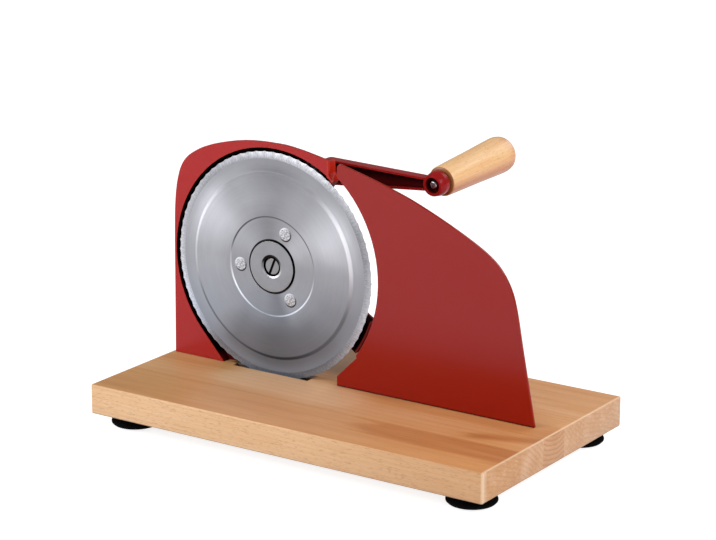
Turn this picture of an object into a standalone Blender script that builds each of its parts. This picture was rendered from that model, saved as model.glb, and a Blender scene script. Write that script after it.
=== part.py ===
"""Hand-crank food slicer: beech board on rubber feet, red frame with a round serrated blade,
geared crank with a wooden handle, and a red stop plate that a knob moves for the slice thickness.
X runs along the board, +Y points away from the cutting side, +Z is up, and the feet stand on Z = 0."""

import math

import bmesh
import bpy
from mathutils import Matrix, Vector

MM = 0.001
GAP = 0.3 * MM
WELD = 0.002 * MM
SMOOTH_BELOW = math.radians(32)

# Board and feet. The board's middle lies in front of the origin, which is under the middle of the
# whole object, handle included
BOARD_MIDDLE = -11.5 * MM
BOARD_LENGTH = 369 * MM
BOARD_WIDTH = 214 * MM
BOARD_THICKNESS = 25 * MM
BOARD_EDGE = 1.2 * MM
FOOT_RADIUS = 20 * MM
FOOT_HEIGHT = 11 * MM
FOOT_INSET_LEFT = 26.2 * MM
FOOT_INSET_RIGHT = 23.6 * MM
FOOT_INSET_SIDE = 24.9 * MM
BOARD_TOP = FOOT_HEIGHT + BOARD_THICKNESS
ON_BOARD = BOARD_TOP + GAP

# Blade. FRONT is the plane of the blade's rim, of the frame's face and of the stop plate's face
FRONT = BOARD_MIDDLE + 0.5 * MM
BLADE_RADIUS = 95 * MM
BLADE_DIP = 4.7 * MM
BLADE_THICKNESS = 1.4 * MM
BLADE_OFFSET_X = -80 * MM
BLADE_AXIS = Vector((BLADE_OFFSET_X, 0, BOARD_TOP + BLADE_RADIUS - BLADE_DIP))
SCALLOPS = 72
SCALLOP_DEPTH = 0.6 * MM
BEVEL_WIDTH = 7 * MM
PLATEAU_RADIUS = BLADE_RADIUS * 0.81
PLATEAU_RISE = 1.5 * MM
MIDDLE_RADIUS = 41.4 * MM
MIDDLE_SINK = 0.35 * MM
RIVET_CIRCLE = 31.4 * MM
RIVET_HEAD = 4.7 * MM
RIVET_SHANK = 2.6 * MM
RIVET_ANGLES = (65, 185, 305)
CAP_RADIUS = 21.8 * MM
CAP_THICKNESS = 3.7 * MM
CAP_PROUD = 1.2 * MM
CAP_RECESS = 8.2 * MM
HUB_RADIUS = 17.5 * MM
SLOT_ANGLE = 67.6
HUB_SCREW_HEAD = 6.7 * MM
HUB_SCREW_SHANK = 4 * MM

# Gears: a large wheel riveted to the blade and a small one on the crank shaft
MODULE = 1.5 * MM
WHEEL_TEETH = 98
PINION_TEETH = 16
TOOTH_HEAD = 0.9 * MODULE
TOOTH_FOOT = 1.25 * MODULE
TOOTH_PLAY = 0.16 * MM
WHEEL_RADIUS = WHEEL_TEETH * MODULE / 2
PINION_RADIUS = PINION_TEETH * MODULE / 2
CRANK_DIRECTION = math.radians(66.2)
CRANK_AXIS = BLADE_AXIS + (WHEEL_RADIUS + PINION_RADIUS) * Vector(
    (math.cos(CRANK_DIRECTION), 0, math.sin(CRANK_DIRECTION))
)
WHEEL_FRONT = FRONT + BLADE_THICKNESS - PLATEAU_RISE + GAP
TEETH_FRONT = FRONT + BLADE_THICKNESS + 1.5 * MM
TEETH_WIDTH = 4.4 * MM
TEETH_BACK = TEETH_FRONT + TEETH_WIDTH

# Frame: face plate, dish behind it, web that carries the blade's hub and the crank's bearing
FACE_THICKNESS = 2.5 * MM
FACE_BACK = FRONT + FACE_THICKNESS
CUTOUT_RADIUS = BLADE_RADIUS + 3 * MM
WALL = 2.2 * MM
WEB_FRONT = TEETH_BACK + 0.8 * MM
WEB_BACK = WEB_FRONT + 2.4 * MM
RIGHT_RADIUS = BLADE_RADIUS - 10.8 * MM
LOW_RADIUS = BLADE_RADIUS - 8.8 * MM
LIP_RADIUS = BLADE_RADIUS + 4.6 * MM
POCKET_RADIUS = PINION_RADIUS + TOOTH_HEAD + 0.85 * MM
BEARING_RADIUS = 10.5 * MM
BEARING_BACK = FRONT + 24.3 * MM
FRAME_FOOT_DEPTH = 27 * MM
FRAME_FOOT_THICKNESS = 4 * MM
FRAME_FOOT_LEFT = 3 * MM - BLADE_RADIUS
FRAME_FOOT_RIGHT = BLADE_RADIUS * 0.2
FRAME_SCREWS = (
    FRAME_FOOT_LEFT + 12 * MM,
    (FRAME_FOOT_LEFT + FRAME_FOOT_RIGHT) / 2 - 6 * MM,
    FRAME_FOOT_RIGHT - 14 * MM,
)

# Crank: shaft, arm, and a handle whose pin leans a little
SHAFT_RADIUS = 4.7 * MM
THREAD_RADIUS = SHAFT_RADIUS * 0.65
NUT_HEIGHT = 5 * MM
THREAD_LENGTH = NUT_HEIGHT + 1.4 * MM
ARM_LENGTH = 101.25 * MM
ARM_ANGLE = math.radians(1.7)
ARM_FRONT = BEARING_BACK + 1.7 * MM
ARM_DEPTH = 9.5 * MM
ARM_BACK = ARM_FRONT + ARM_DEPTH
ARM_HUB_RADIUS = 10.5 * MM
ARM_TIP_RADIUS = 4.8 * MM
ARM_WALL = 1.8 * MM
BOSS_PROUD = 1.4 * MM
BOSS_FRONT_RADIUS = 8.8 * MM
BOSS_BACK_RADIUS = 10 * MM
BOSS_RECESS = 6 * MM
HANDLE_LEAN = Vector((0.02, 1, 0.062)).normalized()
HANDLE_NEAR = 2.3 * MM
HANDLE_LENGTH = 92 * MM
HANDLE_BORE = 4.6 * MM
PIN_RADIUS = 4.2 * MM

# Stop plate and the guide that moves it
PLATE_THICKNESS = 2.5 * MM
PLATE_ARC = BLADE_RADIUS + 9.9 * MM
PLATE_ARC_MIDDLE = (-3.5 * MM, 1 * MM)
THICKEST_SLICE = 18 * MM
GUIDE_X = 62 * MM
GUIDE_HEIGHT = 30 * MM
ROD_SPACING = 64 * MM
ROD_RADIUS = 4 * MM
SPINDLE_RADIUS = 3 * MM
CARRIAGE_DEPTH = 10 * MM
CARRIAGE_HEIGHT = 20 * MM
BRACKET_THICKNESS = 5 * MM
BRACKET_FOOT = 24 * MM
KNOB_RADIUS = 16 * MM
KNOB_DEPTH = 18 * MM
CARRIAGE_FRONT = FRONT + PLATE_THICKNESS + GAP
CARRIAGE_BACK = CARRIAGE_FRONT + CARRIAGE_DEPTH
BRACKET_FRONT = CARRIAGE_BACK + THICKEST_SLICE + 8 * MM
BRACKET_BACK = BRACKET_FRONT + BRACKET_THICKNESS
KNOB_FRONT = BRACKET_BACK + BRACKET_FOOT + 3 * MM
GUIDE_AXIS = Vector((GUIDE_X, 0, BOARD_TOP + GUIDE_HEIGHT))

# Screws that hold pieces on the board
SCREW_RADIUS = 2.1 * MM
SCREW_HEAD = 4.4 * MM
SCREW_HEAD_HEIGHT = 2.6 * MM
SCREW_LENGTH = 15 * MM
SCREW_STEPS = 12

RED = (0.36, 0.018, 0.012)
BEECH = (0.62, 0.38, 0.19)
STEEL = (0.55, 0.56, 0.58)
BRASS = (0.62, 0.45, 0.16)
BLACK = (0.015, 0.015, 0.016)


def new_collection(name):
    collection = bpy.data.collections.new(name)
    bpy.context.scene.collection.children.link(collection)
    return collection


for leftover in list(bpy.data.objects):
    bpy.data.objects.remove(leftover)
PARTS = new_collection("food_slicer")
CUTTERS = new_collection("cutters")
CUTTERS.hide_render = True


def closed_mesh(bm, name, pivot, place=None):
    """A mesh object in the parts collection, with its origin on the pivot and its faces outwards."""
    if place:
        bmesh.ops.transform(bm, matrix=place, verts=bm.verts)
    bmesh.ops.translate(bm, vec=-pivot, verts=bm.verts)
    bmesh.ops.remove_doubles(bm, verts=bm.verts, dist=WELD)
    bmesh.ops.recalc_face_normals(bm, faces=bm.faces)
    mesh = bpy.data.meshes.new(name)
    bm.to_mesh(mesh)
    bm.free()
    mesh.shade_smooth()
    mesh.set_sharp_from_angle(angle=SMOOTH_BELOW)
    obj = bpy.data.objects.new(name, mesh)
    obj.location = pivot
    PARTS.objects.link(obj)
    return obj


def from_helper(name, helper, pivot, place=None):
    """Takes the evaluated shape of a helper object, then removes the helper."""
    graph = bpy.context.evaluated_depsgraph_get()
    mesh = bpy.data.meshes.new_from_object(helper.evaluated_get(graph))
    bpy.data.objects.remove(helper)
    bm = bmesh.new()
    bm.from_mesh(mesh)
    bpy.data.meshes.remove(mesh)
    return closed_mesh(bm, name, pivot, place)


def area(points):
    pairs = zip(points, points[1:] + points[:1])
    return sum(a[0] * b[1] - b[0] * a[1] for a, b in pairs) / 2


def along(axis_point, direction):
    """The placement that lays local +Z along a direction, with local Z = 0 on the axis point."""
    return Matrix.Translation(axis_point) @ direction.to_track_quat("Z", "Y").to_matrix().to_4x4()


def turned(name, profile, axis_point, direction=Vector((0, 1, 0)), steps=32):
    """Spins a closed profile of (radius, distance along the axis) points about the axis."""
    ring = list(profile)
    if area(ring) > 0:
        ring.reverse()
    on_axis = [i for i, (radius, _) in enumerate(ring) if radius == 0]
    is_ring = not on_axis
    if not is_ring:
        start = next(i for i in on_axis if ring[(i + 1) % len(ring)][0] > 0)
        ring = ring[start:] + ring[:start]
    mesh = bpy.data.meshes.new(name)
    count = len(ring)
    edges = [(i, (i + 1) % count) for i in range(count if is_ring else count - 1)]
    mesh.from_pydata([(radius, 0, height) for radius, height in ring], edges, [])
    helper = bpy.data.objects.new(name + "_profile", mesh)
    PARTS.objects.link(helper)
    screw = helper.modifiers.new("Turn", "SCREW")
    screw.steps = steps
    screw.render_steps = steps
    screw.use_merge_vertices = True
    screw.merge_threshold = 0.01 * MM
    return from_helper(name, helper, axis_point, along(axis_point, direction))


def sheet(name, outlines, front, back, corner, pivot=None):
    """Fills outlines of (along X, up) points round a corner point, from the front Y to the back Y."""
    curve = bpy.data.curves.new(name, "CURVE")
    curve.dimensions = "2D"
    curve.fill_mode = "BOTH"
    curve.extrude = (back - front) / 2
    for outline in outlines:
        spline = curve.splines.new("POLY")
        spline.points.add(len(outline) - 1)
        for point, (across, up) in zip(spline.points, outline):
            point.co = (across, up, 0, 1)
        spline.use_cyclic_u = True
    helper = bpy.data.objects.new(name + "_outline", curve)
    PARTS.objects.link(helper)
    middle = Vector((corner.x, (front + back) / 2, corner.z))
    stand = Matrix.Translation(middle) @ Matrix.Rotation(math.pi / 2, 4, "X")
    return from_helper(name, helper, pivot or corner, stand)


def block(name, low, high, pivot=None):
    bm = bmesh.new()
    size = Vector(high) - Vector(low)
    bmesh.ops.create_cube(bm, size=1, matrix=Matrix.Diagonal(size).to_4x4())
    middle = (Vector(high) + Vector(low)) / 2
    return closed_mesh(bm, name, pivot or middle, Matrix.Translation(middle))


def rod(name, radius, front, back, axis_point, steps=32):
    return turned(name, [(0, front), (radius, front), (radius, back), (0, back)], axis_point, steps=steps)


def combine(target, tool, operation, solver="EXACT"):
    """Joins a tool to the target or cuts it out of the target, and puts the tool with the cutters."""
    PARTS.objects.unlink(tool)
    CUTTERS.objects.link(tool)
    tool.hide_render = True
    tool.display_type = "WIRE"
    boolean = target.modifiers.new(tool.name, "BOOLEAN")
    boolean.operation = operation
    boolean.solver = solver
    boolean.object = tool


def cut(target, *tools):
    for tool in tools:
        combine(target, tool, "DIFFERENCE")


def join(target, *tools):
    for tool in tools:
        combine(target, tool, "UNION")


def bevel(obj, width, segments=2, angle=40):
    edges = obj.modifiers.new("Edges", "BEVEL")
    edges.width = width
    edges.segments = segments
    edges.limit_method = "ANGLE"
    edges.angle_limit = math.radians(angle)
    edges.miter_outer = "MITER_ARC"


def coat(obj, color, roughness=0.4, metallic=0.0):
    material = bpy.data.materials.new(obj.name)
    material.use_nodes = True
    surface = material.node_tree.nodes["Principled BSDF"]
    surface.inputs["Base Color"].default_value = (*color, 1)
    surface.inputs["Roughness"].default_value = roughness
    surface.inputs["Metallic"].default_value = metallic
    material.diffuse_color = (*color, 1)
    obj.data.materials.clear()
    obj.data.materials.append(material)


def polar(radius, degrees):
    return (radius * math.cos(math.radians(degrees)), radius * math.sin(math.radians(degrees)))


def arc(radius, start, end, step=5.0, center=(0, 0)):
    count = max(1, math.ceil(abs(end - start) / step))
    angles = [start + (end - start) * i / count for i in range(count + 1)]
    return [(center[0] + x, center[1] + y) for x, y in (polar(radius, a) for a in angles)]


def rounded(corners, step=12.0):
    """A closed outline through (x, y, corner radius) points; a radius of 0 keeps the point."""
    outline = []
    for i, (x, y, radius) in enumerate(corners):
        here = Vector((x, y))
        if radius == 0:
            outline.append((x, y))
            continue
        before = (Vector(corners[i - 1][:2]) - here).normalized()
        after = (Vector(corners[(i + 1) % len(corners)][:2]) - here).normalized()
        half = before.angle(after) / 2
        middle = here + (before + after).normalized() * radius / math.sin(half)
        first = here + before * radius / math.tan(half) - middle
        last = here + after * radius / math.tan(half) - middle
        start = math.degrees(math.atan2(first.y, first.x))
        turn = math.degrees(math.atan2(last.y, last.x)) - start
        turn = (turn + 180) % 360 - 180
        outline += arc(radius, start, start + turn, step, middle)
    return outline


def curve_through(points, unit, parts=3):
    """A smooth line through points, from the second one to the last but one; the end points steer it."""
    line = []
    for a, b, c, d in zip(points, points[1:], points[2:], points[3:]):
        a, b, c, d = (Vector(point) * unit for point in (a, b, c, d))
        for i in range(parts):
            t = i / parts
            bend = (2 * a - 5 * b + 4 * c - d) * t * t + (3 * b - a - 3 * c + d) * t * t * t
            line.append(tuple((2 * b + (c - a) * t + bend) / 2))
    return line + [(points[-2][0] * unit, points[-2][1] * unit)]


def down_tangent(radius, degrees, bottom):
    """Where the tangent of a circle, running down from a point on it, meets the height bottom."""
    x, y = polar(radius, degrees)
    slope_x, slope_y = -math.sin(math.radians(degrees)), math.cos(math.radians(degrees))
    return (x + (bottom - y) / slope_y * slope_x, bottom)


def wood_screw(name, seat, upwards=False):
    """A pan-head screw whose head sits on the seat point; the shank runs down, or up, into the board."""
    profile = [
        (0, SCREW_HEAD_HEIGHT),
        (SCREW_HEAD * 0.6, SCREW_HEAD_HEIGHT),
        (SCREW_HEAD, SCREW_HEAD_HEIGHT * 0.45),
        (SCREW_HEAD, 0),
        (SCREW_RADIUS, 0),
        (SCREW_RADIUS, -SCREW_LENGTH),
        (0, -SCREW_LENGTH - SCREW_RADIUS),
    ]
    screw = turned(name, profile, seat, Vector((0, 0, -1 if upwards else 1)), SCREW_STEPS)
    coat(screw, STEEL, 0.3, 1.0)
    return screw


def screw_hole(name, seat, depth, upwards=False):
    """The cutter for the shank of a wood screw, from 2 mm outside its seat."""
    radius = SCREW_RADIUS + GAP
    profile = [(0, 2 * MM), (radius, 2 * MM), (radius, -depth), (0, -depth - radius)]
    return turned(name, profile, seat, Vector((0, 0, -1 if upwards else 1)), SCREW_STEPS)


def gear_outline(teeth, pitch_radius, turn_degrees):
    """Straight-sided teeth round a pitch circle, each with play to run free of its partner."""
    pitch = 2 * math.pi / teeth
    outline = []
    for i in range(teeth):
        middle = i * pitch + math.radians(turn_degrees)
        for side, radius, share in (
            (-1, pitch_radius - TOOTH_FOOT, 0.37),
            (-1, pitch_radius + TOOTH_HEAD, 0.13),
            (1, pitch_radius + TOOTH_HEAD, 0.13),
            (1, pitch_radius - TOOTH_FOOT, 0.37),
        ):
            angle = middle + side * (share * pitch - TOOTH_PLAY / pitch_radius)
            outline.append((radius * math.cos(angle), radius * math.sin(angle)))
    return outline


# Board with the blade slot
half_length = BOARD_LENGTH / 2
half_width = BOARD_WIDTH / 2
board = block(
    "board",
    (-half_length, BOARD_MIDDLE - half_width, FOOT_HEIGHT),
    (half_length, BOARD_MIDDLE + half_width, BOARD_TOP),
)
bevel(board, BOARD_EDGE)
coat(board, BEECH, 0.5)
SLOT_DEPTH = BLADE_DIP + 5 * MM
SLOT_LEFT = BLADE_OFFSET_X - 40 * MM
SLOT_RIGHT = BLADE_OFFSET_X + 35.5 * MM
SLOT_FRONT = FRONT - 2.6 * MM
SLOT_BACK = FRONT + BLADE_THICKNESS + 3 * MM
cut(
    board,
    block(
        "slot_cutter",
        (SLOT_LEFT, SLOT_FRONT, BOARD_TOP - SLOT_DEPTH),
        (SLOT_RIGHT, SLOT_BACK, BOARD_TOP + 5 * MM),
    ),
)

# Feet: shallow rubber discs, each held by a screw from below
foot_left = FOOT_INSET_LEFT - half_length
foot_right = half_length - FOOT_INSET_RIGHT
foot_front = BOARD_MIDDLE - half_width + FOOT_INSET_SIDE
foot_back = BOARD_MIDDLE + half_width - FOOT_INSET_SIDE
foot_spots = {
    "front_left": (foot_left, foot_front),
    "front_right": (foot_right, foot_front),
    "back_left": (foot_left, foot_back),
    "back_right": (foot_right, foot_back),
}
foot_top = FOOT_HEIGHT - GAP
screw_seat = foot_top - 5 * MM
for spot, (x, y) in foot_spots.items():
    on_floor = Vector((x, y, 0))
    foot_profile = [
        (FOOT_RADIUS * 0.78, foot_top),
        (FOOT_RADIUS * 0.84, foot_top - 4 * MM),
        (FOOT_RADIUS, 4.2 * MM),
        (FOOT_RADIUS, 3.2 * MM),
        (FOOT_RADIUS * 0.92, 1.4 * MM),
        (FOOT_RADIUS * 0.67, 0),
        (SCREW_HEAD + 1.6 * MM, 0),
        (SCREW_HEAD + 0.8 * MM, screw_seat),
        (SCREW_RADIUS + GAP, screw_seat),
        (SCREW_RADIUS + GAP, foot_top),
    ]
    foot = turned("foot_" + spot, foot_profile, on_floor, Vector((0, 0, 1)), 24)
    coat(foot, BLACK, 0.6)
    seat = Vector((x, y, screw_seat - GAP))
    wood_screw("foot_screw_" + spot, seat, upwards=True)
    depth = FOOT_HEIGHT - seat.z + SCREW_LENGTH
    cut(board, screw_hole("foot_hole_" + spot, seat, depth, upwards=True))

# Frame casting, drawn round the blade's axis. Its left side, shoulder and top are one line through
# points given as shares of the cut-out's radius; the last but one is the square tip's top corner
floor_line = ON_BOARD - BLADE_AXIS.z
TOP_LINE = (
    (-1.0265, -0.9184),
    (-1.0224, -0.4592),
    (-1.0194, -0.1020),
    (-1.0163, 0.1429),
    (-1.0102, 0.3469),
    (-0.9959, 0.5102),
    (-0.9714, 0.6327),
    (-0.9367, 0.7296),
    (-0.8786, 0.8102),
    (-0.7959, 0.8714),
    (-0.6888, 0.9265),
    (-0.5306, 0.9786),
    (-0.2857, 1.0296),
    (-0.0306, 1.0459),
    (0.2245, 1.0316),
    (0.4286, 0.9959),
    (0.5545, 0.9684),
    (0.6939, 0.9286),
)
TIP_X = TOP_LINE[-2][0] * CUTOUT_RADIUS
TIP_LOW_ANGLE = 53.6
LIP_LOW, LIP_HIGH = -37.3, -19.0
SIDE_ANGLE = 222.3
wall_degrees = math.degrees(WALL / BLADE_RADIUS)
outer_radius = CUTOUT_RADIUS + WALL
tip_angle = math.degrees(math.acos(TIP_X / outer_radius))
foot_corner = math.degrees(math.asin(FRAME_FOOT_RIGHT / LOW_RADIUS)) - 90
casing_outline = (
    arc(outer_radius, tip_angle, SIDE_ANGLE)
    + [down_tangent(outer_radius, SIDE_ANGLE, floor_line)]
    + [(FRAME_FOOT_RIGHT, floor_line)]
    + arc(LOW_RADIUS, foot_corner, LIP_LOW)
    + arc(LIP_RADIUS, LIP_LOW, LIP_HIGH)
    + arc(RIGHT_RADIUS, LIP_HIGH + 2.5, TIP_LOW_ANGLE)
    + [polar(CUTOUT_RADIUS - 1 * MM, TIP_LOW_ANGLE)]
)
inner_right = FRAME_FOOT_RIGHT - WALL
inner_corner = math.degrees(math.asin(inner_right / (LOW_RADIUS - WALL))) - 90
below_floor = floor_line - 5 * MM
cavity_tip = math.degrees(math.acos((TIP_X - WALL) / CUTOUT_RADIUS))
cavity_low = TIP_LOW_ANGLE + wall_degrees * 1.3
cavity_outline = (
    arc(CUTOUT_RADIUS, cavity_tip, SIDE_ANGLE)
    + [down_tangent(CUTOUT_RADIUS, SIDE_ANGLE, below_floor)]
    + [(inner_right, below_floor)]
    + arc(LOW_RADIUS - WALL, inner_corner, LIP_LOW + wall_degrees)
    + arc(LIP_RADIUS - WALL, LIP_LOW + wall_degrees, LIP_HIGH - wall_degrees)
    + arc(RIGHT_RADIUS - WALL, LIP_HIGH + 2.5 - wall_degrees, cavity_low)
    + [polar(CUTOUT_RADIUS - 2.1 * MM, cavity_low)]
)
# Face plate: left side, shoulder and top as the drawn line, square tip, then round the cut-out
tip_low = math.sqrt((CUTOUT_RADIUS + 1.1 * MM) ** 2 - TIP_X**2)
face_inner = CUTOUT_RADIUS - 6 * MM
face_outline = (
    [(TOP_LINE[0][0] * CUTOUT_RADIUS, floor_line)]
    + curve_through(TOP_LINE, CUTOUT_RADIUS)
    + [(TIP_X, tip_low)]
    + arc(CUTOUT_RADIUS - 0.8 * MM, TIP_LOW_ANGLE, tip_angle)
    + arc(face_inner, tip_angle + 4, SIDE_ANGLE)
    + [down_tangent(face_inner, SIDE_ANGLE, floor_line)]
)
frame = sheet("frame", [casing_outline], FACE_BACK - 0.4 * MM, WEB_BACK, BLADE_AXIS)
join(frame, sheet("frame_face", [face_outline], FRONT, FACE_BACK, BLADE_AXIS))
wall_top = TOP_LINE[-2][1] * CUTOUT_RADIUS - 0.6 * MM
wall_outline = [
    (TIP_X - WALL, wall_top),
    (TIP_X - 0.1 * MM, wall_top),
    (TIP_X - 0.1 * MM, tip_low - 1 * MM),
    (TIP_X - WALL, tip_low - 1 * MM),
]
join(frame, sheet("tip_wall", [wall_outline], FRONT + 0.6 * MM, WEB_BACK - 0.2 * MM, BLADE_AXIS))
pocket_radius = POCKET_RADIUS + WALL * 0.7
pocket_back = WEB_BACK - 0.4 * MM
join(frame, rod("pocket", pocket_radius, FACE_BACK - 0.9 * MM, pocket_back, CRANK_AXIS, 28))
cut(frame, sheet("cavity", [cavity_outline], FRONT - 5 * MM, WEB_FRONT, BLADE_AXIS))
room_back = WEB_FRONT + 0.2 * MM
cut(frame, rod("pinion_room", POCKET_RADIUS, FACE_BACK, room_back, CRANK_AXIS, 28))
foot_low = Vector((BLADE_AXIS.x + FRAME_FOOT_LEFT, WEB_BACK - 0.6 * MM, ON_BOARD))
foot_high = Vector(
    (
        BLADE_AXIS.x + FRAME_FOOT_RIGHT,
        WEB_BACK + FRAME_FOOT_DEPTH,
        ON_BOARD + FRAME_FOOT_THICKNESS,
    )
)
join(frame, block("frame_foot", foot_low, foot_high))
RIB_HEIGHT = 26 * MM
RIB_THICKNESS = 4 * MM
for i, x in enumerate((-57 * MM, -6 * MM)):
    middle = BLADE_AXIS.x + x
    rib_low = Vector((middle - RIB_THICKNESS / 2, WEB_BACK - 0.6 * MM, ON_BOARD + 1 * MM))
    rib_high = Vector(
        (middle + RIB_THICKNESS / 2, WEB_BACK + FRAME_FOOT_DEPTH * 0.7, ON_BOARD + RIB_HEIGHT)
    )
    rib = block("rib_%d" % i, rib_low, rib_high)
    for corner in rib.data.vertices:
        if corner.co.y > 0 and corner.co.z > 0:
            corner.co.y = -corner.co.y * 0.7
    join(frame, rib)
boss_front = FRONT + 2.2 * MM
join(frame, rod("hub_boss", HUB_RADIUS, boss_front, WEB_BACK - 0.5 * MM, BLADE_AXIS, 40))
join(frame, rod("hub_back", 13 * MM, WEB_FRONT + 0.6 * MM, WEB_BACK + 7 * MM, BLADE_AXIS, 24))
bearing_front = WEB_FRONT + 0.9 * MM
join(frame, rod("bearing", BEARING_RADIUS, bearing_front, BEARING_BACK, CRANK_AXIS, 28))
spine = [
    (-5 * MM, 9 * MM),
    (5 * MM, 9 * MM),
    (4 * MM, WHEEL_RADIUS + PINION_RADIUS - 6 * MM),
    (-4 * MM, WHEEL_RADIUS + PINION_RADIUS - 6 * MM),
]
lean = CRANK_DIRECTION - math.pi / 2
spine_outline = [
    (x * math.cos(lean) - z * math.sin(lean), x * math.sin(lean) + z * math.cos(lean))
    for x, z in spine
]
join(frame, sheet("spine", [spine_outline], WEB_BACK - 0.7 * MM, WEB_BACK + 5 * MM, BLADE_AXIS))
BUSH_RADIUS = SHAFT_RADIUS + 2.4 * MM
bore_back = BEARING_BACK + 2 * MM
cut(frame, rod("bush_bore", BUSH_RADIUS + GAP, WEB_FRONT - 2 * MM, bore_back, CRANK_AXIS, 24))
hub_screw_back = FRONT + 15 * MM
hub_hole = HUB_SCREW_SHANK + GAP
cut(frame, rod("hub_bore", hub_hole, FRONT - 2 * MM, hub_screw_back + 1 * MM, BLADE_AXIS, 16))
coat(frame, RED, 0.3)
screw_y = WEB_BACK + FRAME_FOOT_DEPTH * 0.55
for i, offset in enumerate(FRAME_SCREWS):
    number = str(i + 1)
    seat = Vector((BLADE_AXIS.x + offset, screw_y, ON_BOARD + FRAME_FOOT_THICKNESS + GAP))
    wood_screw("frame_screw_" + number, seat)
    cut(frame, screw_hole("frame_hole_" + number, seat, 12 * MM))
    cut(board, screw_hole("frame_pilot_" + number, seat, SCREW_LENGTH + GAP))

# Blade: scalloped and ground rim, raised plateau, slightly sunk middle, three rivet holes.
# A ring is (radius, depth, number of points); the two rings without a radius are the scalloped rim.
STEPS_PER_SCALLOP = 3
bore_radius = CAP_RADIUS + 1.1 * MM
plateau_front = FRONT - PLATEAU_RISE
plateau_back = plateau_front + BLADE_THICKNESS
middle_front = plateau_front + MIDDLE_SINK
blade_back = FRONT + BLADE_THICKNESS
coarse = SCALLOPS // 2
blade_rings = [
    (bore_radius, middle_front, coarse),
    (MIDDLE_RADIUS - 0.6 * MM, middle_front, coarse),
    (MIDDLE_RADIUS + 0.6 * MM, plateau_front, coarse),
    (PLATEAU_RADIUS - 0.7 * MM, plateau_front, SCALLOPS),
    (PLATEAU_RADIUS + 0.7 * MM, FRONT, SCALLOPS),
    (BLADE_RADIUS - BEVEL_WIDTH, FRONT, SCALLOPS),
    (None, blade_back - 0.35 * MM, SCALLOPS * STEPS_PER_SCALLOP),
    (None, blade_back - 0.15 * MM, SCALLOPS * STEPS_PER_SCALLOP),
    (BLADE_RADIUS - 2.5 * MM, blade_back, SCALLOPS),
    (PLATEAU_RADIUS + 0.7 * MM, blade_back, SCALLOPS),
    (PLATEAU_RADIUS - 0.7 * MM, plateau_back, SCALLOPS),
    (bore_radius, plateau_back, coarse),
]


def blade_ring(bm, radius, depth, count):
    """A circle of points, or the scalloped rim: hollow arcs that meet in points."""
    ring = []
    for i in range(count):
        share = (i % STEPS_PER_SCALLOP) / STEPS_PER_SCALLOP
        rim = BLADE_RADIUS - SCALLOP_DEPTH * math.sin(math.pi * share)
        x, z = polar(radius or rim, 360 * i / count)
        ring.append(bm.verts.new((x, depth, z)))
    return ring


def bridge(bm, first, second):
    """Faces between two rings; one of them may have a whole number of times more points."""
    if len(first) == len(second):
        for i in range(len(first)):
            j = (i + 1) % len(first)
            bm.faces.new((first[i], first[j], second[j], second[i]))
        return
    coarse, fine = (first, second) if len(first) < len(second) else (second, first)
    ratio = len(fine) // len(coarse)
    for i, corner in enumerate(coarse):
        fan = [fine[(i * ratio + k - ratio // 2) % len(fine)] for k in range(ratio + 1)]
        for a, b in zip(fan, fan[1:]):
            bm.faces.new((corner, a, b))
        bm.faces.new((corner, fan[-1], coarse[(i + 1) % len(coarse)]))


bm = bmesh.new()
rings = [blade_ring(bm, *entry) for entry in blade_rings]
for first, second in zip(rings, rings[1:] + rings[:1]):
    bridge(bm, first, second)
blade = closed_mesh(bm, "blade", BLADE_AXIS, Matrix.Translation(BLADE_AXIS))
coat(blade, STEEL, 0.25, 1.0)

# Gear wheel behind the blade, turning on the frame's hub boss: a toothed rim and a cranked web
WHEEL_STEPS = 36
web_bend = TEETH_FRONT + 0.5 * MM
wheel_web_back = TEETH_FRONT + 1.7 * MM
wheel_bore = HUB_RADIUS + GAP
hub_front = FRONT + 2.1 * MM
tooth_ring = gear_outline(WHEEL_TEETH, WHEEL_RADIUS, math.degrees(CRANK_DIRECTION))
rim_bore = WHEEL_RADIUS - 7 * MM
bore_step = 360 / WHEEL_STEPS
ring_bore = arc(rim_bore, 0, 360 - bore_step, bore_step)
gear_wheel = sheet("gear_wheel", [tooth_ring, ring_bore], TEETH_FRONT, TEETH_BACK, BLADE_AXIS)
wheel_profile = [
    (wheel_bore, hub_front),
    (bore_radius, hub_front),
    (bore_radius, WHEEL_FRONT),
    (rim_bore - 2 * MM, WHEEL_FRONT),
    (rim_bore - 1.5 * MM, web_bend),
    (rim_bore + 1.5 * MM, web_bend),
    (rim_bore + 1.5 * MM, wheel_web_back),
    (wheel_bore + 6 * MM, wheel_web_back),
    (wheel_bore + 6 * MM, TEETH_BACK),
    (wheel_bore, TEETH_BACK),
]
join(gear_wheel, turned("wheel_web", wheel_profile, BLADE_AXIS, steps=WHEEL_STEPS))
coat(gear_wheel, BLACK, 0.45)

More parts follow.
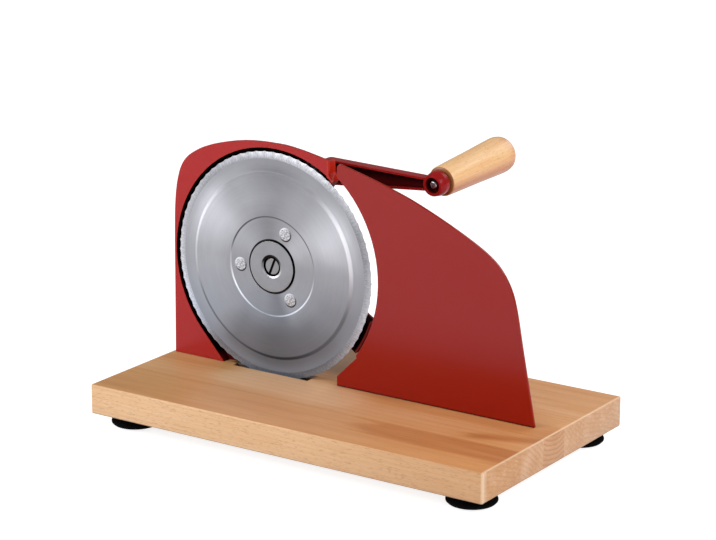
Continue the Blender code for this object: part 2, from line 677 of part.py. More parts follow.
for i, degrees in enumerate(RIVET_ANGLES):
    number = str(i + 1)
    x, z = polar(RIVET_CIRCLE, degrees)
    spot = BLADE_AXIS + Vector((x, 0, z))
    head_back = middle_front + 0.7 * MM
    rivet_profile = [
        (0, middle_front),
        (RIVET_HEAD, middle_front),
        (RIVET_SHANK, head_back),
        (RIVET_SHANK, wheel_web_back + GAP),
        (RIVET_HEAD, wheel_web_back + GAP),
        (RIVET_HEAD * 0.7, wheel_web_back + 1.6 * MM),
        (0, wheel_web_back + 2.1 * MM),
    ]
    rivet = turned("rivet_" + number, rivet_profile, spot, steps=20)
    coat(rivet, STEEL, 0.35, 1.0)
    hole = [
        (0, middle_front - 2 * MM),
        (RIVET_HEAD + 0.2 * MM, middle_front - 2 * MM),
        (RIVET_HEAD + 0.2 * MM, middle_front + 0.1 * MM),
        (RIVET_SHANK + 0.3 * MM, head_back + 0.2 * MM),
        (RIVET_SHANK + 0.3 * MM, middle_front + 3 * MM),
        (0, middle_front + 3 * MM),
    ]
    cut(blade, turned("blade_hole_" + number, hole, spot, steps=20))
    wheel_hole = rod("wheel_hole_" + number, RIVET_SHANK + GAP, FRONT, TEETH_BACK, spot, 16)
    combine(gear_wheel, wheel_hole, "DIFFERENCE", "MANIFOLD")

# Hub cap and its slotted screw, both fixed on the frame's hub boss
cap_front = middle_front - CAP_PROUD
cap_back = cap_front + CAP_THICKNESS
screw_floor = cap_front + 2.9 * MM
cap_profile = [
    (CAP_RADIUS - 0.4 * MM, cap_front),
    (CAP_RECESS + 1.7 * MM, cap_front),
    (CAP_RECESS, cap_front + 0.9 * MM),
    (CAP_RECESS, screw_floor),
    (HUB_SCREW_SHANK + GAP, screw_floor),
    (HUB_SCREW_SHANK + GAP, cap_back),
    (CAP_RADIUS, cap_back),
    (CAP_RADIUS, cap_front + 0.4 * MM),
]
hub_cap = turned("hub_cap", cap_profile, BLADE_AXIS, steps=40)
coat(hub_cap, STEEL, 0.3, 1.0)
head_front = cap_front + 1.4 * MM
hub_screw_profile = [
    (0, head_front),
    (HUB_SCREW_HEAD - 0.3 * MM, head_front),
    (HUB_SCREW_HEAD, head_front + 0.3 * MM),
    (HUB_SCREW_HEAD, screw_floor - 0.2 * MM),
    (HUB_SCREW_SHANK, screw_floor - 0.2 * MM),
    (HUB_SCREW_SHANK, hub_screw_back),
    (0, hub_screw_back),
]
hub_screw = turned("hub_screw", hub_screw_profile, BLADE_AXIS, steps=40)
coat(hub_screw, STEEL, 0.3, 1.0)
slot_half = 1.1 * MM
slot_cutter = block(
    "screw_slot",
    (-HUB_SCREW_HEAD * 1.3, head_front - 2 * MM, -slot_half),
    (HUB_SCREW_HEAD * 1.3, head_front + 0.8 * MM, slot_half),
    Vector((0, 0, 0)),
)
slot_cutter.location = BLADE_AXIS
slot_cutter.rotation_euler = (0, -math.radians(SLOT_ANGLE), 0)
cut(hub_screw, slot_cutter)

# Crank shaft with pinion, in a flanged bush
nut_seat = ARM_BACK + 1.3 * MM
shaft_profile = [
    (0, TEETH_FRONT + 0.2 * MM),
    (SHAFT_RADIUS, TEETH_FRONT + 0.2 * MM),
    (SHAFT_RADIUS, ARM_BACK - 0.4 * MM),
    (THREAD_RADIUS, ARM_BACK - 0.4 * MM),
    (THREAD_RADIUS, nut_seat + THREAD_LENGTH),
    (0, nut_seat + THREAD_LENGTH),
]
crank_shaft = turned("crank_shaft", shaft_profile, CRANK_AXIS, steps=24)
coat(crank_shaft, STEEL, 0.3, 1.0)
pinion_turn = math.degrees(CRANK_DIRECTION) + 180 + 180 / PINION_TEETH
pinion_outline = gear_outline(PINION_TEETH, PINION_RADIUS, pinion_turn)
shaft_hole = arc(SHAFT_RADIUS + 0.25 * MM, 0, 360 - 12, 12)
pinion = sheet(
    "pinion",
    [pinion_outline, shaft_hole],
    TEETH_FRONT + 0.2 * MM,
    TEETH_BACK + 0.2 * MM,
    CRANK_AXIS,
)
coat(pinion, STEEL, 0.4, 1.0)
bush_profile = [
    (SHAFT_RADIUS + GAP, WEB_FRONT + 0.2 * MM),
    (BUSH_RADIUS, WEB_FRONT + 0.2 * MM),
    (BUSH_RADIUS, BEARING_BACK + GAP),
    (BEARING_RADIUS - 1.2 * MM, BEARING_BACK + GAP),
    (BEARING_RADIUS - 1.2 * MM, BEARING_BACK + 1.2 * MM),
    (SHAFT_RADIUS + GAP, BEARING_BACK + 1.2 * MM),
]
crank_bush = turned("crank_bush", bush_profile, CRANK_AXIS, steps=24)
coat(crank_bush, BRASS, 0.35, 1.0)

# Crank arm: a tapering channel open to the front, with a hub and a leaning boss for the handle
arm_vector = ARM_LENGTH * Vector((math.cos(ARM_ANGLE), 0, math.sin(ARM_ANGLE)))
BOSS_AXIS = CRANK_AXIS + arm_vector
boss_point = Vector((BOSS_AXIS.x, ARM_FRONT, BOSS_AXIS.z))


def arm_outline(margin):
    """The outline round the hub and the boss end, taken in by a margin."""
    hub = ARM_HUB_RADIUS - margin
    tip = ARM_TIP_RADIUS - margin
    lean_degrees = math.degrees(math.asin((ARM_HUB_RADIUS - ARM_TIP_RADIUS) / ARM_LENGTH))
    turn = math.degrees(ARM_ANGLE)
    far = (arm_vector.x, arm_vector.z)
    return arc(hub, turn + 90 - lean_degrees, turn + 270 + lean_degrees, 12) + arc(
        tip, turn - 90 + lean_degrees, turn + 90 - lean_degrees, 20, far
    )


arm = sheet("crank_arm", [arm_outline(0)], ARM_FRONT, ARM_BACK, CRANK_AXIS)
bevel(arm, 0.6 * MM, 1, 60)
channel = sheet(
    "arm_channel", [arm_outline(ARM_WALL)], ARM_FRONT - 3 * MM, ARM_BACK - 2.2 * MM, CRANK_AXIS
)
cut(arm, channel)
hub_back = ARM_BACK - 0.5 * MM
join(arm, rod("arm_hub", ARM_HUB_RADIUS - 0.5 * MM, ARM_FRONT - 0.2 * MM, hub_back, CRANK_AXIS, 28))
boss_length = ARM_DEPTH - 0.6 * MM
boss_profile = [
    (0, -BOSS_PROUD),
    (BOSS_FRONT_RADIUS - 0.6 * MM, -BOSS_PROUD),
    (BOSS_FRONT_RADIUS, 0.6 * MM - BOSS_PROUD),
    (BOSS_BACK_RADIUS, boss_length * 0.55),
    (BOSS_BACK_RADIUS, boss_length + 2 * MM),
    (0, boss_length + 2 * MM),
]
arm_boss = turned("arm_boss", boss_profile, boss_point, HANDLE_LEAN, 32)
combine(arm, arm_boss, "UNION", "MANIFOLD")
recess_floor = 3.4 * MM
boss_hole = [
    (0, -4 * MM),
    (BOSS_RECESS + 0.6 * MM, -4 * MM),
    (BOSS_RECESS + 0.6 * MM, 0.4 * MM - BOSS_PROUD),
    (BOSS_RECESS, 1.4 * MM - BOSS_PROUD),
    (BOSS_RECESS, recess_floor),
    (2.3 * MM, recess_floor),
    (2.3 * MM, boss_length + 3 * MM),
    (0, boss_length + 3 * MM),
]
spot_face = [
    (0, boss_length),
    (BOSS_BACK_RADIUS + 2 * MM, boss_length),
    (BOSS_BACK_RADIUS + 2 * MM, boss_length + 5 * MM),
    (0, boss_length + 5 * MM),
]
bore_front = ARM_FRONT - 3 * MM
shaft_fit = SHAFT_RADIUS + 0.25 * MM
thread_fit = THREAD_RADIUS + GAP
arm_bores = (
    turned("boss_hole", boss_hole, boss_point, HANDLE_LEAN, 24),
    turned("spot_face", spot_face, boss_point, HANDLE_LEAN, 32),
    rod("shaft_bore", shaft_fit, bore_front, ARM_BACK - 0.1 * MM, CRANK_AXIS, 24),
    rod("thread_bore", thread_fit, bore_front, ARM_BACK + 2 * MM, CRANK_AXIS, 16),
)
for bore in arm_bores:
    combine(arm, bore, "DIFFERENCE", "MANIFOLD")
coat(arm, RED, 0.3)
washer_profile = [
    (thread_fit, ARM_BACK + GAP),
    (7.5 * MM, ARM_BACK + GAP),
    (7.5 * MM, ARM_BACK + 1.1 * MM),
    (thread_fit, ARM_BACK + 1.1 * MM),
]
crank_washer = turned("crank_washer", washer_profile, CRANK_AXIS, steps=24)
coat(crank_washer, STEEL, 0.3, 1.0)
nut_top = nut_seat + NUT_HEIGHT
nut_profile = [
    (0, nut_seat),
    (5.6 * MM, nut_seat),
    (6.4 * MM, nut_seat + 0.5 * MM),
    (6.4 * MM, nut_top - 0.5 * MM),
    (5.6 * MM, nut_top),
    (0, nut_top),
]
crank_nut = turned("crank_nut", nut_profile, CRANK_AXIS, steps=6)
cut(crank_nut, rod("nut_thread", thread_fit, nut_seat - 2 * MM, nut_top + 2 * MM, CRANK_AXIS, 20))
coat(crank_nut, STEEL, 0.3, 1.0)

# Handle: screw in the arm's boss, washer, steel pin with a round head, turned wooden grip
screw_seat_depth = recess_floor - GAP
handle_screw_profile = [
    (0, screw_seat_depth - 2.9 * MM),
    (2.2 * MM, screw_seat_depth - 2.7 * MM),
    (3.8 * MM, screw_seat_depth - 1.5 * MM),
    (3.8 * MM, screw_seat_depth),
    (2 * MM, screw_seat_depth),
    (2 * MM, boss_length + 12 * MM),
    (0, boss_length + 12 * MM),
]
handle_screw = turned("handle_screw", handle_screw_profile, boss_point, HANDLE_LEAN, 24)
coat(handle_screw, STEEL, 0.3, 1.0)
for i, turn in enumerate((20, 110)):
    notch = block(
        "notch_%d" % i, (-2.2 * MM, -0.4 * MM, 0), (2.2 * MM, 0.4 * MM, 2 * MM), Vector((0, 0, 0))
    )
    start = boss_point + HANDLE_LEAN * (screw_seat_depth - 3.7 * MM)
    notch.matrix_world = along(start, HANDLE_LEAN) @ Matrix.Rotation(math.radians(turn), 4, "Z")
    cut(handle_screw, notch)
wood_start = boss_length + HANDLE_NEAR
wood_end = wood_start + HANDLE_LENGTH
washer_front = boss_length + GAP
handle_washer_profile = [
    (2.4 * MM, washer_front),
    (6.8 * MM, washer_front),
    (6.8 * MM, wood_start - GAP),
    (2.4 * MM, wood_start - GAP),
]
handle_washer = turned("handle_washer", handle_washer_profile, boss_point, HANDLE_LEAN, 24)
coat(handle_washer, STEEL, 0.3, 1.0)
pin_front = wood_start
head_seat = wood_end - 6 * MM
pin_profile = [
    (2.3 * MM, pin_front),
    (PIN_RADIUS, pin_front),
    (PIN_RADIUS, head_seat + 0.5 * MM),
    (7 * MM, head_seat + 0.5 * MM),
    (7 * MM, head_seat + 2.6 * MM),
    (4.5 * MM, head_seat + 4.2 * MM),
    (0, head_seat + 4.8 * MM),
    (0, pin_front + 15 * MM),
    (2.3 * MM, pin_front + 14 * MM),
]
handle_pin = turned("handle_pin", pin_profile, boss_point, HANDLE_LEAN, 24)
coat(handle_pin, STEEL, 0.3, 1.0)
grip_profile = [
    (HANDLE_BORE, wood_start),
    (9.8 * MM, wood_start),
    (11.5 * MM, wood_start + 0.7 * MM),
    (12.3 * MM, wood_start + 2 * MM),
    (13.05 * MM, wood_start + HANDLE_LENGTH * 0.25),
    (13.8 * MM, wood_start + HANDLE_LENGTH * 0.52),
    (14.45 * MM, wood_start + HANDLE_LENGTH * 0.685),
    (15.15 * MM, wood_start + HANDLE_LENGTH * 0.88),
    (15.0 * MM, wood_end - 5.2 * MM),
    (13.9 * MM, wood_end - 2.3 * MM),
    (11.8 * MM, wood_end - 0.5 * MM),
    (9.4 * MM, wood_end),
    (7.8 * MM, wood_end),
    (7.6 * MM, head_seat),
    (HANDLE_BORE, head_seat),
]
handle = turned("handle", grip_profile, boss_point, HANDLE_LEAN, 30)
coat(handle, BEECH, 0.5)

# Stop plate, drawn round the blade's axis like the frame
plate_left = BLADE_RADIUS * 0.658
arc_top = math.degrees(math.acos((plate_left - PLATE_ARC_MIDDLE[0]) / PLATE_ARC))
ARC_LOW = -36.6
notch_low = -BLADE_RADIUS * 0.865
EDGE_LINE = (
    (42, 100),
    (69, 92.8),
    (94, 86.2),
    (115, 79.9),
    (132, 74.2),
    (154, 65.3),
    (176, 55.3),
    (196, 45),
    (208.5, 36.5),
    (216, 28.6),
    (221.6, 19.8),
    (225.4, 11),
    (228.3, 0.5),
    (230.6, -10.5),
    (234.6, -31.8),
    (246.2, -90),
)
plate_right = EDGE_LINE[-1][0] * MM
edge_line = curve_through(EDGE_LINE, MM)
corner = rounded([(plate_left, 94.6 * MM, 3.2 * MM), (plate_left, 80 * MM, 0), (*edge_line[0], 0)])
stop_outline = (
    arc(PLATE_ARC, arc_top, ARC_LOW, 4, PLATE_ARC_MIDDLE)
    + [(BLADE_RADIUS * 0.857, -BLADE_RADIUS * 0.668)]
    + [(plate_left, notch_low)]
    + [(plate_left, floor_line)]
    + [(plate_right, floor_line)]
    + edge_line[::-1]
    + corner[:-2]
)
stop_pivot = Vector((GUIDE_AXIS.x, FRONT, GUIDE_AXIS.z))
stop_plate = sheet(
    "stop_plate", [stop_outline], FRONT, FRONT + PLATE_THICKNESS, BLADE_AXIS, stop_pivot
)
coat(stop_plate, RED, 0.3)

# Carriage bar welded behind the stop plate, with two guide rods
bar_half = ROD_SPACING / 2 + ROD_RADIUS + 5 * MM
carriage = block(
    "carriage",
    (GUIDE_X - bar_half, CARRIAGE_FRONT, GUIDE_AXIS.z - CARRIAGE_HEIGHT / 2),
    (GUIDE_X + bar_half, CARRIAGE_BACK, GUIDE_AXIS.z + CARRIAGE_HEIGHT / 2),
    stop_pivot,
)
bevel(carriage, 1 * MM)
coat(carriage, RED, 0.3)
rod_back = BRACKET_BACK + BRACKET_FOOT * 0.8
socket_front = CARRIAGE_FRONT + 1.7 * MM
socket_back = CARRIAGE_BACK + 3 * MM
for side, sign in (("left", -1), ("right", 1)):
    axis_point = GUIDE_AXIS + Vector((sign * ROD_SPACING / 2, 0, 0))
    rod_profile = [
        (0, CARRIAGE_FRONT + 2 * MM),
        (ROD_RADIUS, CARRIAGE_FRONT + 2 * MM),
        (ROD_RADIUS, rod_back - 1 * MM),
        (ROD_RADIUS - 1 * MM, rod_back),
        (0, rod_back),
    ]
    guide_rod = turned("guide_rod_" + side, rod_profile, axis_point, steps=24)
    coat(guide_rod, STEEL, 0.2, 1.0)
    name = "rod_socket_" + side
    cut(carriage, rod(name, ROD_RADIUS + 0.2 * MM, socket_front, socket_back, axis_point, 24))

# Bracket on the board: upright wall with rod bores and the spindle's nut, and a foot with two screws
foot_half = bar_half + 2 * MM
bracket_top = GUIDE_AXIS.z + CARRIAGE_HEIGHT / 2 + 3 * MM
bracket = block(
    "bracket",
    (GUIDE_X - foot_half, BRACKET_FRONT, ON_BOARD),
    (GUIDE_X + foot_half, BRACKET_BACK, bracket_top),
)
join(
    bracket,
    block(
        "bracket_foot",
        (GUIDE_X - foot_half, BRACKET_BACK - 1 * MM, ON_BOARD),
        (GUIDE_X + foot_half, BRACKET_BACK + BRACKET_FOOT, ON_BOARD + BRACKET_THICKNESS),
    ),
)
NUT_RADIUS = 7 * MM
cutter_front = BRACKET_FRONT - 2 * MM
cutter_back = BRACKET_BACK + 2 * MM
screw_row = BRACKET_BACK + BRACKET_FOOT * 0.55
NUT_LENGTH = BRACKET_THICKNESS + 5 * MM
for side, sign in (("left", -1), ("right", 1)):
    axis_point = GUIDE_AXIS + Vector((sign * ROD_SPACING / 2, 0, 0))
    bore_name = "rod_bore_" + side
    cut(bracket, rod(bore_name, ROD_RADIUS + GAP, cutter_front, cutter_back, axis_point, 24))
    seat = Vector((axis_point.x + sign * MM, screw_row, ON_BOARD + BRACKET_THICKNESS + GAP))
    wood_screw("bracket_screw_" + side, seat)
    cut(bracket, screw_hole("bracket_hole_" + side, seat, 12 * MM))
    cut(board, screw_hole("bracket_pilot_" + side, seat, SCREW_LENGTH + GAP))
cut(bracket, rod("nut_bore", NUT_RADIUS + 0.2 * MM, cutter_front, cutter_back, GUIDE_AXIS))
coat(bracket, RED, 0.3)
nut_profile = [
    (SPINDLE_RADIUS + GAP, BRACKET_FRONT - 1.3 * MM),
    (NUT_RADIUS + 2 * MM, BRACKET_FRONT - 1.3 * MM),
    (NUT_RADIUS + 2 * MM, BRACKET_FRONT - GAP),
    (NUT_RADIUS, BRACKET_FRONT - GAP),
    (NUT_RADIUS, BRACKET_FRONT + NUT_LENGTH),
    (SPINDLE_RADIUS + GAP, BRACKET_FRONT + NUT_LENGTH),
]
spindle_nut = turned("spindle_nut", nut_profile, GUIDE_AXIS, steps=24)
coat(spindle_nut, BRASS, 0.35, 1.0)

# Spindle held in the carriage, with its knob
collar_back = CARRIAGE_BACK + 2.3 * MM
spindle_profile = [
    (0, CARRIAGE_FRONT + 2 * MM),
    (SPINDLE_RADIUS, CARRIAGE_FRONT + 2 * MM),
    (SPINDLE_RADIUS, CARRIAGE_BACK + GAP),
    (SPINDLE_RADIUS + 2.5 * MM, CARRIAGE_BACK + GAP),
    (SPINDLE_RADIUS + 2.5 * MM, collar_back),
    (SPINDLE_RADIUS, collar_back),
    (SPINDLE_RADIUS, KNOB_FRONT + KNOB_DEPTH * 0.7),
    (0, KNOB_FRONT + KNOB_DEPTH * 0.7),
]
spindle = turned("spindle", spindle_profile, GUIDE_AXIS, steps=24)
coat(spindle, STEEL, 0.3, 1.0)
spindle_hole = SPINDLE_RADIUS + GAP
cut(carriage, rod("spindle_socket", spindle_hole, socket_front, socket_back, GUIDE_AXIS, 24))
FLUTES = 12
knob_outline = []
for i in range(FLUTES * 4):
    depth = 1.1 * MM if i % 4 in (0, 1) else 0
    knob_outline.append(polar(KNOB_RADIUS - depth, 360 * i / (FLUTES * 4)))
knob = sheet("knob", [knob_outline], KNOB_FRONT + 3 * MM, KNOB_FRONT + KNOB_DEPTH, GUIDE_AXIS)
bevel(knob, 0.5 * MM, 1, 50)
neck_profile = [
    (0, KNOB_FRONT),
    (KNOB_RADIUS * 0.55, KNOB_FRONT),
    (KNOB_RADIUS * 0.7, KNOB_FRONT + 4 * MM),
    (0, KNOB_FRONT + 4 * MM),
]
join(knob, turned("knob_neck", neck_profile, GUIDE_AXIS, steps=24))
knob_hole = SPINDLE_RADIUS + 0.25 * MM
knob_back = KNOB_FRONT + KNOB_DEPTH
cut(knob, rod("knob_bore", knob_hole, KNOB_FRONT - 2 * MM, knob_back + 2 * MM, GUIDE_AXIS, 20))
coat(knob, BLACK, 0.4)
knob_cap_profile = [
    (0, KNOB_FRONT + KNOB_DEPTH * 0.7 + GAP),
    (SPINDLE_RADIUS - 0.1 * MM, KNOB_FRONT + KNOB_DEPTH * 0.7 + GAP),
    (SPINDLE_RADIUS - 0.1 * MM, KNOB_FRONT + KNOB_DEPTH + GAP),
    (6 * MM, KNOB_FRONT + KNOB_DEPTH + GAP),
    (5.4 * MM, KNOB_FRONT + KNOB_DEPTH + 1.6 * MM),
    (0, KNOB_FRONT + KNOB_DEPTH + 2 * MM),
]
knob_cap = turned("knob_cap", knob_cap_profile, GUIDE_AXIS, steps=24)
coat(knob_cap, STEEL, 0.35, 1.0)
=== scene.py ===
"""The looks of a hand-crank food slicer: oiled beech board, glossy red plates and crank arm,
circular brushed blade with a scalloped rim, lacquered wooden handle, black rubber feet."""

import math

import bmesh
import bpy
from mathutils import Matrix, Vector


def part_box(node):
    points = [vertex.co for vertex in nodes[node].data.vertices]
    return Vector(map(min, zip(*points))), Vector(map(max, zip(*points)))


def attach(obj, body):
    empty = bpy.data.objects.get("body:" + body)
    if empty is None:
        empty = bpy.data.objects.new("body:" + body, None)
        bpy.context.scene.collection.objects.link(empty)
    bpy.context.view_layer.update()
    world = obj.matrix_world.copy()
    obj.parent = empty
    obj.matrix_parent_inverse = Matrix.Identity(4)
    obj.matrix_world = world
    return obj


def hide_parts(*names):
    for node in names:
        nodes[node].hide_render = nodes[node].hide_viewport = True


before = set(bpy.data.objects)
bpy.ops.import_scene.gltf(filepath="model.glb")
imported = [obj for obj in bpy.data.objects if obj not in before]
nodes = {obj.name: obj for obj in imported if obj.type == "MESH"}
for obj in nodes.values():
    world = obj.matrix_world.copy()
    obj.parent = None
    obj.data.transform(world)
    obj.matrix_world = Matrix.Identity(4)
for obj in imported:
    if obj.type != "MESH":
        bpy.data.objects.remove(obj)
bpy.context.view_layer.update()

MM = 0.001
WELD = 0.002 * MM
FLAT_BELOW = math.radians(0.4)
SMOOTH_BELOW = math.radians(35)
ARC_STEP = 22
Y_AXIS = Vector((0, 1, 0))
Z_AXIS = Vector((0, 0, 1))

# Places and sizes of the solids that the pieces here stand for
FRONT = -11 * MM
BOARD_LOW, BOARD_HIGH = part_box("board")
BLADE_AXIS = Vector((-80 * MM, 0, 126.3 * MM))
BLADE_RADIUS = 95 * MM
CRANK_AXIS = Vector((-45.497 * MM, 0, 204.529 * MM))
BOSS_POINT = Vector((55.708 * MM, 15 * MM, 207.533 * MM))
HANDLE_LEAN = Vector((0.02, 1, 0.062)).normalized()
WEB_FRONT = -2.9 * MM
CUTOUT_RADIUS = 98 * MM
SIDE_ANGLE = math.radians(222.3)
TIP_X = 54.3 * MM
ARM_FRONT = 15 * MM
ARM_LENGTH = 101.25 * MM
ARM_ANGLE = math.radians(1.7)
ARM_HUB_RADIUS = 10.5 * MM
ARM_TIP_RADIUS = 4.8 * MM
BOARD_TOP = 36 * MM
SLOT_LEFT = -120 * MM
SLOT_RIGHT = -44.5 * MM
SLOT_FRONT = -13.6 * MM
RIVET_ANGLES = (65, 185, 305)
RIVET_CIRCLE = 31.4 * MM
CAP_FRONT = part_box("hub_cap")[0].y
HUB_SLOT_ANGLE = math.radians(67.6)
WOOD_START = 11.2 * MM
WOOD_END = WOOD_START + 92 * MM


# Shapes


def shade(mesh):
    mesh.shade_smooth()
    mesh.set_sharp_from_angle(angle=SMOOTH_BELOW)


def new_object(name, bm, place=Matrix.Identity(4)):
    bmesh.ops.recalc_face_normals(bm, faces=bm.faces)
    mesh = bpy.data.meshes.new(name)
    bm.to_mesh(mesh)
    bm.free()
    shade(mesh)
    obj = bpy.data.objects.new(name, mesh)
    obj.matrix_world = place
    bpy.context.scene.collection.objects.link(obj)
    return obj


def along(point, direction):
    return Matrix.Translation(point) @ direction.to_track_quat("Z", "Y").to_matrix().to_4x4()


def arc(radius, start, end, center):
    count = max(1, math.ceil(abs(end - start) / ARC_STEP))
    angles = [math.radians(start + (end - start) * i / count) for i in range(count + 1)]
    return [(center[0] + radius * math.cos(a), center[1] + radius * math.sin(a)) for a in angles]


def rounded(corners):
    """A closed outline through (x, y, corner radius) points; a radius of 0 keeps the point."""
    outline = []
    for i, (x, y, radius) in enumerate(corners):
        here = Vector((x, y))
        before = Vector(corners[i - 1][:2]) - here
        after = Vector(corners[(i + 1) % len(corners)][:2]) - here
        if radius == 0 or before.length == 0 or after.length == 0:
            outline.append((x, y))
            continue
        before.normalize()
        after.normalize()
        half = before.angle(after) / 2
        middle = here + (before + after).normalized() * radius / math.sin(half)
        first = here + before * radius / math.tan(half) - middle
        last = here + after * radius / math.tan(half) - middle
        start = math.degrees(math.atan2(first.y, first.x))
        turn = math.degrees(math.atan2(last.y, last.x)) - start
        turn = (turn + 180) % 360 - 180
        outline += arc(radius, start, start + turn, middle)
    return outline


def lathe(name, profile, point, direction=Y_AXIS, steps=96):
    """Spins a closed profile of (radius, distance, corner radius) points, in millimetres."""
    ring = [(r * MM, h * MM) for r, h in rounded(profile)]
    bm = bmesh.new()
    turns = [math.tau * i / steps for i in range(steps)]
    columns = []
    for radius, height in ring:
        if radius < 1e-6:
            columns.append([bm.verts.new((0, 0, height))])
            continue
        columns.append(
            [bm.verts.new((radius * math.cos(a), radius * math.sin(a), height)) for a in turns]
        )
    for first, second in zip(columns, columns[1:] + columns[:1]):
        if len(first) == len(second) == 1:
            continue
        for i in range(steps):
            j = (i + 1) % steps
            corners = [first[i % len(first)], first[j % len(first)]]
            corners += [second[j % len(second)], second[i % len(second)]]
            bm.faces.new(list(dict.fromkeys(corners)))
    return new_object(name, bm, along(point, direction))


def edge_round(obj, width, segments=3, angle=35):
    bevel = obj.modifiers.new("Edges", "BEVEL")
    bevel.width = width
    bevel.segments = segments
    bevel.limit_method = "ANGLE"
    bevel.angle_limit = math.radians(angle)
    bevel.harden_normals = True
    return obj


def refined(node, edge, angle=35, segments=2):
    """A copy of a solid with clean faces and eased edges, which stands for that solid."""
    bm = bmesh.new()
    bm.from_mesh(nodes[node].data)
    bmesh.ops.remove_doubles(bm, verts=bm.verts, dist=WELD)
    bmesh.ops.dissolve_limit(bm, angle_limit=FLAT_BELOW, verts=bm.verts, edges=bm.edges)
    obj = new_object(node + "_shown", bm)
    if edge:
        edge_round(obj, edge, segments, angle)
    return obj


def cut(obj, cutter):
    """Cuts a shape out of an object's mesh for good."""
    boolean = obj.modifiers.new("Cut", "BOOLEAN")
    boolean.operation = "DIFFERENCE"
    boolean.solver = "EXACT"
    boolean.object = cutter
    graph = bpy.context.evaluated_depsgraph_get()
    mesh = bpy.data.meshes.new_from_object(obj.evaluated_get(graph))
    obj.modifiers.remove(boolean)
    obj.data = mesh
    shade(mesh)
    bpy.data.objects.remove(cutter)


def box_object(name, low, high, place=Matrix.Identity(4)):
    bm = bmesh.new()
    size = Vector(high) - Vector(low)
    middle = (Vector(high) + Vector(low)) / 2
    scaled = Matrix.Translation(middle) @ Matrix.Diagonal(size).to_4x4()
    bmesh.ops.create_cube(bm, size=1, matrix=scaled)
    return new_object(name, bm, place)


# Node helpers for the materials


class Paint:
    """A material whose nodes are added one call at a time; a socket takes a value or an output."""

    def __init__(self, name, **surface):
        self.material = bpy.data.materials.new(name)
        self.material.use_nodes = True
        self.tree = self.material.node_tree
        self.surface = self.tree.nodes["Principled BSDF"]
        self.fill(self.surface, surface)
        self.output = self.tree.nodes["Material Output"]

    def fill(self, node, values):
        for key, value in values.items():
            socket = node.inputs[key if isinstance(key, int) else key.replace("_", " ")]
            if isinstance(value, bpy.types.NodeSocket):
                self.tree.links.new(value, socket)
            elif isinstance(value, tuple) and len(value) == 3 and socket.type == "RGBA":
                socket.default_value = (*value, 1)
            else:
                socket.default_value = value

    def add(self, kind, out=0, set_up=None, sockets=None, **values):
        node = self.tree.nodes.new("ShaderNode" + kind)
        for key, value in (set_up or {}).items():
            setattr(node, key, value)
        self.fill(node, sockets or {})
        self.fill(node, values)
        return node.outputs[out]

    def math(self, operation, a, b=0.0):
        return self.add("Math", set_up={"operation": operation}, sockets={0: a, 1: b})

    def scaled(self, value, factor, offset=0.0):
        set_up = {"operation": "MULTIPLY_ADD"}
        return self.add("Math", set_up=set_up, sockets={0: value, 1: factor, 2: offset})

    def product(self, first, *others):
        for other in others:
            first = self.math("MULTIPLY", first, other)
        return first

    def total(self, first, *others):
        for other in others:
            first = self.math("ADD", first, other)
        return first

    def vector(self, operation, a, b=(0, 0, 0), out="Vector"):
        return self.add("VectorMath", out=out, set_up={"operation": operation}, sockets={0: a, 1: b})

    def axes(self, vector):
        node = self.tree.nodes.new("ShaderNodeSeparateXYZ")
        self.tree.links.new(vector, node.inputs[0])
        return node.outputs

    def point(self, x, y, z=0.0):
        return self.add("CombineXYZ", sockets={0: x, 1: y, 2: z})

    def noise(self, vector, scale, detail=3.0, rough=0.5):
        values = {"Scale": scale, "Detail": detail, "Roughness": rough}
        return self.add("TexNoise", sockets={"Vector": vector, **values})

    def stretched(self, vector, x, y, z):
        return self.add("Mapping", sockets={"Vector": vector, "Scale": (x, y, z)})

    def ramp(self, fac, *stops, mode="LINEAR"):
        node = self.tree.nodes.new("ShaderNodeValToRGB")
        node.color_ramp.interpolation = mode
        elements = node.color_ramp.elements
        while len(elements) < len(stops):
            elements.new(0.5)
        for element, (place, color) in zip(elements, stops):
            element.position = place
            element.color = (*color, 1)
        self.tree.links.new(fac, node.inputs["Fac"])
        return node.outputs["Color"]

    def mix(self, factor, a, b, blend="MIX"):
        set_up = {"data_type": "RGBA", "blend_type": blend}
        return self.add("Mix", out=2, set_up=set_up, sockets={0: factor, 6: a, 7: b})

    def tinted(self, color, tint, factor=None):
        """The color times the tint; with a factor, only as far as that goes."""
        full = self.mix(1.0, color, tint, "MULTIPLY")
        return full if factor is None else self.mix(factor, color, full)

    def smooth(self, value, low, high):
        """0 below low, 1 above high, and an even turn between."""
        sockets = {"Value": value, "From Min": low, "From Max": high}
        return self.add("MapRange", set_up={"interpolation_type": "SMOOTHSTEP"}, sockets=sockets)

    def falling(self, value, low, high, most=1.0):
        """The most below low, 0 above high, and an even turn between."""
        return self.scaled(self.smooth(value, low, high), -most, most)

    def band(self, value, low, high, soft):
        """1 between low and high, with soft ends."""
        start = self.smooth(value, low - soft, low + soft)
        return self.math("SUBTRACT", start, self.smooth(value, high - soft, high + soft))

    def place(self):
        return self.add("TexCoord", out="Object")

    def standing_place(self):
        """Places in the frame's own space, which stay put when the piece turns."""
        return self.add("TexCoord", out="Object", set_up={"object": nodes["frame"]})

    def facing(self):
        """The three parts of the surface's outward direction."""
        return self.axes(self.add("NewGeometry", out="Normal"))

    def bump(self, height, strength, distance):
        normal = self.add("Bump", Height=height, Strength=strength, Distance=distance)
        self.fill(self.surface, {"Normal": normal})


def gray(value):
    return (value, value, value)


def times(color, factor):
    return tuple(c * factor for c in color)


# Red enamel


